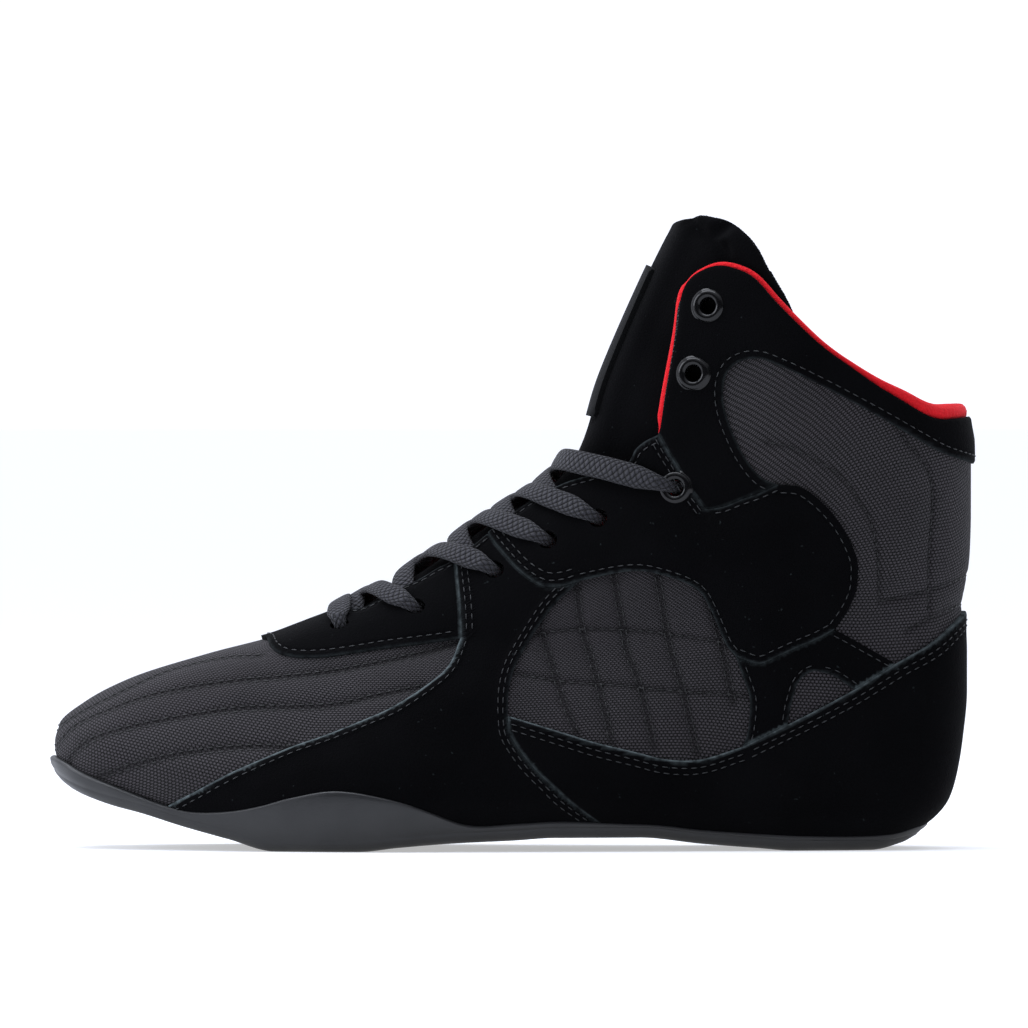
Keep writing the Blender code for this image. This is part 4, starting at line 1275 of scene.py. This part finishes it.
class SHOE_OT_overlays(bpy.types.Operator):
    """Suede overlays with rounded edges, lace holes and dips along their stitches."""
    bl_idname = "shoe.overlays"
    bl_label = "Suede overlays"
    bl_options = {"REGISTER", "UNDO"}

    def execute(self, context):
        for panel, (names, mirror, over, rows) in PANELS.items():
            edge, owners = outline(names, mirror, 0.9 * MM)
            holes = hole_places(edge)
            stitched = dict(rows)
            for side_name, side in (("outer", OUTER), ("inner", INNER)):
                if mirror and side == INNER:
                    continue
                bm, scale = sliced(edge, sizes().mesh_step, (0.35 * MM, 0.45 * MM))
                punch(bm, scale, holes, sizes().hole)
                slab(bm)

                def lifts(distance, level, angle):
                    thick = sizes().suede + CLEARANCE + over * MM
                    fall = EDGE_FALL * (1 - fade(0, FALL_REACH, distance))
                    puff = SUEDE_PUFF * fade(*SUEDE_PUFF_FADE, distance)
                    low = fade(0.0, 0.02, level)
                    return np.full_like(distance, UNDERLAY), thick * (0.6 + 0.4 * low) - fall + puff
                distance, seams = laid(bm, scale, side, edge, owners, lifts)
                raw = np.array([RAW_EDGES.get(seam, 0.0) for seam in seams])
                raw = raw * (1 - fade(*RAW_FADE, distance))
                dip = np.zeros(len(distance))
                for seam in set(seams):
                    mine = np.array([s == seam for s in seams])
                    for at in stitched.get(seam, ()):
                        dip[mine] -= np.exp(-((distance[mine] / MM - at) / STITCH_DIP) ** 2)
                name = panel if mirror else f"{panel}_{side_name}"
                piece = new_piece(f"suede_{name}", bm, finish_of("suede"), replaces=(name,))
                add_attribute(piece.data, "raw_edge", raw)
                add_attribute(piece.data, "seam_dip", dip)
        return {"FINISHED"}


class SHOE_OT_stitching(bpy.types.Operator):
    """Rows of stitches on the suede and on the quilted canvas."""
    bl_idname = "shoe.stitching"
    bl_label = "Stitching"
    bl_options = {"REGISTER", "UNDO"}

    def execute(self, context):
        bm = bmesh.new()
        for panel, (names, mirror, over, rows) in PANELS.items():
            edge, owners = outline(names, mirror, 0.6 * MM)
            half = edge if not mirror else edge[:len(edge) // 2 + 1]
            kin = owners[:len(half)]
            lift = sizes().suede + CLEARANCE + (over + 0.12) * MM
            for seam, distances in rows:
                line = np.array([point for point, owner in zip(half, kin) if owner == seam])
                for distance in distances:
                    moved = beside(line, edge, distance * MM)
                    if len(moved) > 8:
                        stitch_row(bm, moved, lift)
        new_piece("stitches_suede", bm, finish_of("thread"), outward=False)
        bm = bmesh.new()
        doubles, singles = quilt_lines()
        for line in doubles:
            for distance in DOUBLE_ROWS:
                stitch_row(bm, moved_over(line, distance), -sizes().quilt_depth * DOUBLE_SINK, True)
        for line in singles:
            stitch_row(bm, line, -sizes().quilt_depth * SINGLE_SINK, True)
        new_piece("stitches_canvas", bm, finish_of("quilting"), outward=False)
        return {"FINISHED"}


def tongue_lift(level, angle):
    """How far below the form the tongue's outside lies: deeper under the eyestays."""
    free = fade(0.76, 0.86, level)
    under = fade(0.12, 0.45, np.abs(angle)) * (1 - free)
    return (-1.6 - 3.3 * under - 1.5 * free) * MM


# Half the pad's thickness, and how far its rounded edge reaches in
TONGUE_HALF, TONGUE_ROUNDING = 2.4 * MM, 2.3 * MM
# The plate: half width, corner, thickness, and u, v of its lower and upper end
PLATE_HALF, PLATE_CORNER, PLATE = 13 * MM, 2.5 * MM, 1.6 * MM
PLATE_ENDS = ((58.3, 68.5), (65.3, 91.8))


class SHOE_OT_tongue(bpy.types.Operator):
    """Padded tongue with soft creases at its top, and the bare plate on its front."""
    bl_idname = "shoe.tongue"
    bl_label = "Tongue"
    bl_options = {"REGISTER", "UNDO"}

    def execute(self, context):
        line = np.concatenate((SEAM_LINES["tongue_edge"], SEAM_LINES["tongue_top"]))
        half = spaced(line, 1.0 * MM)
        half[0, 0] = half[-1, 0] = 0.0
        edge = np.concatenate((half, half[1:-1][::-1] * (-1, 1)))
        bm, scale = sliced(edge, 1.3 * MM, (0.5 * MM, 0.7 * MM, 0.9 * MM))
        slab(bm)
        creases = [(map_line(from_photo(points)), depth, width) for points, depth, width in TONGUE_CREASES]

        def lifts(distance, level, angle):
            round_edge = np.sqrt(1 - (1 - np.clip(distance / TONGUE_ROUNDING, 0, 1)) ** 2)
            thick = TONGUE_HALF * round_edge
            middle = tongue_lift(level, angle) - TONGUE_HALF
            dip = np.zeros_like(distance)
            points = form(level, np.abs(angle))
            for crease, depth, width in creases:
                gap = gaps_to(form(crease[:, 1], crease[:, 0]), points)
                dip = np.maximum(dip, depth * MM * np.exp(-(gap / (width * MM)) ** 2))
            return middle - thick, middle + thick - dip * round_edge
        laid(bm, scale, 1, edge, ["edge"] * len(edge), lifts)
        bmesh.ops.remove_doubles(bm, verts=bm.verts, dist=0.03 * MM)
        new_piece("tongue_pad", bm, finish_of("suede"), replaces=("tongue",))
        self.plate()
        return {"FINISHED"}

    def plate(self):
        """Rounded rectangle, 26 by 51 mm."""
        (low, high), _ = on_form(*np.transpose(PLATE_ENDS))
        up, _ = slopes(np.array([(low + high) / 2]), np.array([0.0]))
        tall = (high - low) * np.linalg.norm(up)
        spots = []
        for k, (x, y) in enumerate(((1, 1), (-1, 1), (-1, -1), (1, -1))):
            for turn in np.linspace(k, k + 1, 6) * math.pi / 2:
                spots.append((x * (PLATE_HALF - PLATE_CORNER) + PLATE_CORNER * math.cos(turn),
                              y * (tall / 2 - PLATE_CORNER) + PLATE_CORNER * math.sin(turn)))
        spots = np.array(spots)
        level = (low + high) / 2 + spots[:, 1] / tall * (high - low)
        _, along = slopes(level, np.zeros_like(level))
        angle = np.arcsin(np.clip(spots[:, 0] / np.linalg.norm(along, axis=1), -1, 1))
        edge = np.column_stack((angle, level))
        bm, scale = sliced(edge, 2.0 * MM, (0.4 * MM, 0.5 * MM))
        slab(bm)

        def lifts(distance, level, angle):
            base = tongue_lift(level, angle) + 0.05 * MM
            return base, base + PLATE - 0.5 * MM * (1 - fade(0, 0.8 * MM, distance))
        laid(bm, scale, 1, edge, ["edge"] * len(edge), lifts)
        new_piece("plate", bm, finish_of("plate"), replaces=("tongue_plate",))


# Columns round the sole, rows up its side wall, and how far the wall bulges
SOLE_COLUMNS, WALL_ROWS, WALL_BULGE = 480, 14, 0.25 * MM
# Shares from the middle of the underside to its edge
UNDER_SHARES = (0.0, 0.35, 0.65, 0.85, 0.97, 1.0)
# Rounding under the side wall: lift over the form in mm, and rise as a share of the floor's thickness
UNDER_ROUNDING = ((-1.2, 0.04), (0.0, 0.14), (0.9, 0.32), (1.7, 0.6), ((SOLE_SIDE + CLEARANCE) / MM, 0.85))
# Lip at the rim: rise over the rim and lift over the form, in mm
LIP = ((0.3, 2.0), (0.5, 1.5), (0.55, 0.9), (0.4, 0.4), (-1.5, 0.3))


class SHOE_OT_sole(bpy.types.Operator):
    """Rubber cup sole: underside, side wall with its wave at the ball, and a rounded lip."""
    bl_idname = "shoe.sole"
    bl_label = "Sole"
    bl_options = {"REGISTER", "UNDO"}

    def execute(self, context):
        around = np.linspace(-math.pi, math.pi, SOLE_COLUMNS, endpoint=False)
        order = np.argsort(RIM_LINE[:, 0])
        rim = np.interp(np.abs(around), RIM_LINE[order, 0], RIM_LINE[order, 1])
        zero = np.zeros_like(around)
        low = form(zero, around)
        under = low[:, 2] - SOLE_FLOOR
        outer = SOLE_SIDE + CLEARANCE
        middle = low.copy()
        middle[:, 1] = (low[:, 1] + form(zero, -around)[:, 1]) / 2
        foot = surface(zero, around, -SOLE_EDGE)
        rows = []
        for share in UNDER_SHARES:
            row = middle + (foot - middle) * share
            row[:, 2] = under
            rows.append(row)
        for lift, rise in UNDER_ROUNDING:
            row = surface(zero, around, lift * MM)
            row[:, 2] = under + rise * SOLE_FLOOR
            rows.append(row)
        for share in np.linspace(0.0, 1.0, WALL_ROWS):
            rows.append(surface(rim * share, around, outer + WALL_BULGE * math.sin(math.pi * share)))
        up, _ = slopes(rim, around)
        step = 1 / np.linalg.norm(up, axis=1)
        for rise, lift in LIP:
            rows.append(surface(np.maximum(rim + rise * MM * step, 0), around, lift * MM))
        inner = surface(zero, around, -0.2 * MM)
        rows.append(inner + (0, 0, 0.4 * MM))
        for share in (0.5, 0.0):
            row = middle + (inner - middle) * share
            row[:, 2] = low[:, 2] - 0.1 * MM
            rows.append(row)
        bm = wrapped(np.array(rows))
        new_piece("rubber_sole", bm, finish_of("rubber"), sharp=60, replaces=("outsole",))
        return {"FINISHED"}


# Radius and height over the suede, in mm, from inside the barrel to the skirt
EYELET_PROFILE = (
    (2.5, -4.0), (2.45, -0.6), (2.5, 0.1), (2.7, 0.55), (3.1, 0.9), (3.6, 1.05), (4.2, 1.02), (4.7, 0.82),
    (5.05, 0.5), (5.2, 0.18), (5.6, 0.1), (5.75, -0.1), (5.2, -0.2), (3.0, -0.3), (2.9, -4.0))
# Lift of an eyelet's flange over the form, and the steps it is turned in
EYELET_LIFT, EYELET_STEPS = 1.5 * MM, 40


class SHOE_OT_eyelets(bpy.types.Operator):
    """Turned metal eyelets of the upper three rows."""
    bl_idname = "shoe.eyelets"
    bl_label = "Eyelets"
    bl_options = {"REGISTER", "UNDO"}

    def execute(self, context):
        for row, (u, v, metal) in enumerate(LACE_ROWS, start=1):
            if not metal:
                continue
            (level,), (angle,) = on_form([u], [v])
            for side_name, side in (("outer", OUTER), ("inner", INNER)):
                spot = np.array([side * angle])
                point = Vector(surface(np.array([level]), spot, EYELET_LIFT)[0])
                out = Vector(normals(np.array([level]), spot)[0])
                bm = bmesh.new()
                verts = [bm.verts.new((radius * MM, 0, height * MM)) for radius, height in EYELET_PROFILE]
                edges = [bm.edges.new((a, b)) for a, b in zip(verts, verts[1:] + verts[:1])]
                bmesh.ops.spin(bm, geom=verts + edges, cent=(0, 0, 0), axis=(0, 0, 1),
                               angle=2 * math.pi, steps=EYELET_STEPS, use_merge=True)
                bmesh.ops.remove_doubles(bm, verts=bm.verts, dist=1e-6)
                turn = Matrix.Translation(point) @ out.to_track_quat("Z", "Y").to_matrix().to_4x4()
                bmesh.ops.transform(bm, matrix=turn, verts=bm.verts)
                new_piece(f"metal_eyelet_{row}_{side_name}", bm, finish_of("enamel"),
                          sharp=70, replaces=(f"eyelet_{row}_{side_name}",))
        return {"FINISHED"}


# A strand at its hole: mm from the hole's middle, and the lift of its middle over the form in mm
AT_HOLE = ((-0.8, -4.8), (-0.3, -3.0), (0.3, -1.0), (1.4, 1.0), (2.9, 2.3), (5.0, 2.8))
# Further on: share of the way from its own hole (0) to the hole it comes from (1), and the lift
STRAND = ((0.25, 2.9), (0.36, 2.9), (0.44, 2.5), (0.5, 1.9), (0.56, 0.9), (0.63, -0.5), (0.7, -2.0),
          (0.78, -3.4), (1.0, -4.4))
BAR = ((0.35, 2.9), (0.5, 3.0), (0.65, 2.9))
# How much higher the lace lies beside a metal eyelet, in mm
OVER_EYELET = 0.9
# Pinch at a hole: the distance it fades over, and how much narrower and thicker the lace is there
PINCH_FADE = (0.5 * MM, 8 * MM)
NARROWER, THICKER = 0.45, 0.25
# Sideways roll of a strand in radians, and the points round a lace
STRAND_ROLL, LACE_SIDES = 0.16, 20


class SHOE_OT_lace(bpy.types.Operator):
    """Flat lace: a bar at the toe, then crossings up to the first metal eyelets."""
    bl_idname = "shoe.lace"
    bl_label = "Lace"
    bl_options = {"REGISTER", "UNDO"}

    def execute(self, context):
        laced = LACE_ROWS[:len(LACE_CROSSINGS)]
        levels, angles = on_form([u for u, _, _ in laced], [v for _, v, _ in laced])
        self.strand("lace_bar_flat", (levels[0], -angles[0]), (levels[0], angles[0]),
                    LACE_CROSSINGS[0][0], BAR, 0.0, ("lace_bar",), both=True)
        for row in range(1, len(laced)):
            rise = OVER_EYELET if laced[row][2] else 0.0
            for side_name, side, crossing in (("outer", OUTER, 0), ("inner", INNER, 1)):
                replaced = (f"lace_cross_{row}",) if side == OUTER else ()
                self.strand(f"lace_{row}_{side_name}", (levels[row], side * angles[row]),
                            (levels[row - 1], -side * angles[row - 1]), LACE_CROSSINGS[row][crossing],
                            STRAND, rise, replaced)
        return {"FINISHED"}

    def strand(self, name, start, end, crossing, stations, rise, replaced, both=False):
        ridge_levels = np.linspace(0.12, TOP_LEVEL, 200)
        middle = np.interp(crossing, PROFILE_AT(ridge_levels)[:, 0], ridge_levels)
        ends = form(np.array([start[0], end[0]]), np.array([start[1], end[1]]))
        span = np.linalg.norm(ends[1] - ends[0]) * 1.25
        near_hole = tuple((at * MM / span, lift) for at, lift in AT_HOLE)
        stations = near_hole + stations
        if both:
            stations += tuple((1 - at, lift) for at, lift in reversed(near_hole))
        steps = smooth_line(stations, 6)
        share, lift = steps[:, 0], steps[:, 1]
        first, last = 2 * (share - 0.5) * (share - 1), 2 * share * (share - 0.5)
        level = start[0] * first + middle * (1 - first - last) + end[0] * last
        angle = start[1] * first + end[1] * last
        lift = lift + rise * (1 - fade(0.15, 0.35, share)) * fade(0, 3 * MM, share * span)
        points = surface(level, angle, lift * MM)
        outs = normals(level, angle)
        ahead = unit(np.gradient(points, axis=0))
        across = unit(np.cross(outs, np.gradient(form(level, angle), axis=0)))
        up = unit(np.cross(ahead, across))
        turn = STRAND_ROLL * np.sin(share * math.pi * 2.2)
        across, up = (across * np.cos(turn)[:, None] + up * np.sin(turn)[:, None],
                      up * np.cos(turn)[:, None] - across * np.sin(turn)[:, None])
        pinch = 1 - fade(*PINCH_FADE, share * span)
        if both:
            pinch = np.maximum(pinch, 1 - fade(*PINCH_FADE, (1 - share) * span))
        wide = sizes().lace_width / 2 * (1 - NARROWER * pinch)
        thick = sizes().lace_thickness / 2 * (1 + THICKER * pinch)
        corner = np.linspace(0, 2 * math.pi, LACE_SIDES, endpoint=False)
        flat = np.sign(np.cos(corner)) * np.abs(np.cos(corner)) ** 0.75
        tall = np.sign(np.sin(corner)) * np.abs(np.sin(corner)) ** 0.8
        tube = (points[:, None] + across[:, None] * (wide[:, None] * flat[None])[..., None]
                + up[:, None] * (thick[:, None] * tall[None])[..., None])
        run = run_of(points)
        girth = (sizes().lace_width + sizes().lace_thickness) * 2 * 0.85

        def cloth(i, j):
            return np.column_stack((j * girth, np.interp(i, np.linspace(0, 1, len(run)), run)))
        bm = wrapped(tube, cloth)
        bmesh.ops.holes_fill(bm, edges=bm.edges, sides=0)
        new_piece(name, bm, finish_of("lace"), sharp=80, replaces=replaced)


OPERATORS = (SHOE_OT_stage, SHOE_OT_canvas, SHOE_OT_lining, SHOE_OT_overlays, SHOE_OT_stitching,
             SHOE_OT_tongue, SHOE_OT_sole, SHOE_OT_eyelets, SHOE_OT_lace)


class SHOE_PT_pieces(bpy.types.Panel):
    """Pieces of the wrestling shoe."""
    bl_idname = "SHOE_PT_pieces"
    bl_label = "Wrestling shoe"
    bl_space_type = "VIEW_3D"
    bl_region_type = "UI"
    bl_category = "Wrestling shoe"

    def draw(self, context):
        for operator in OPERATORS:
            self.layout.operator(operator.bl_idname)
        for group in (context.scene.shoe_sizes, context.scene.shoe_colours):
            for name in group.__annotations__:
                self.layout.prop(group, name)


CLASSES = (ShoeSizes, ShoeColours, *OPERATORS, SHOE_PT_pieces)


def register():
    for cls in CLASSES:
        bpy.utils.register_class(cls)
    bpy.types.Scene.shoe_sizes = bpy.props.PointerProperty(type=ShoeSizes)
    bpy.types.Scene.shoe_colours = bpy.props.PointerProperty(type=ShoeColours)


def unregister():
    del bpy.types.Scene.shoe_colours
    del bpy.types.Scene.shoe_sizes
    for cls in reversed(CLASSES):
        bpy.utils.unregister_class(cls)


def main():
    register()
    bpy.ops.shoe.stage()
    bpy.ops.shoe.canvas()
    bpy.ops.shoe.lining()
    bpy.ops.shoe.overlays()
    bpy.ops.shoe.stitching()
    bpy.ops.shoe.tongue()
    bpy.ops.shoe.sole()
    bpy.ops.shoe.eyelets()
    bpy.ops.shoe.lace()
    bpy.context.view_layer.update()


if __name__ == "__main__":
    main()
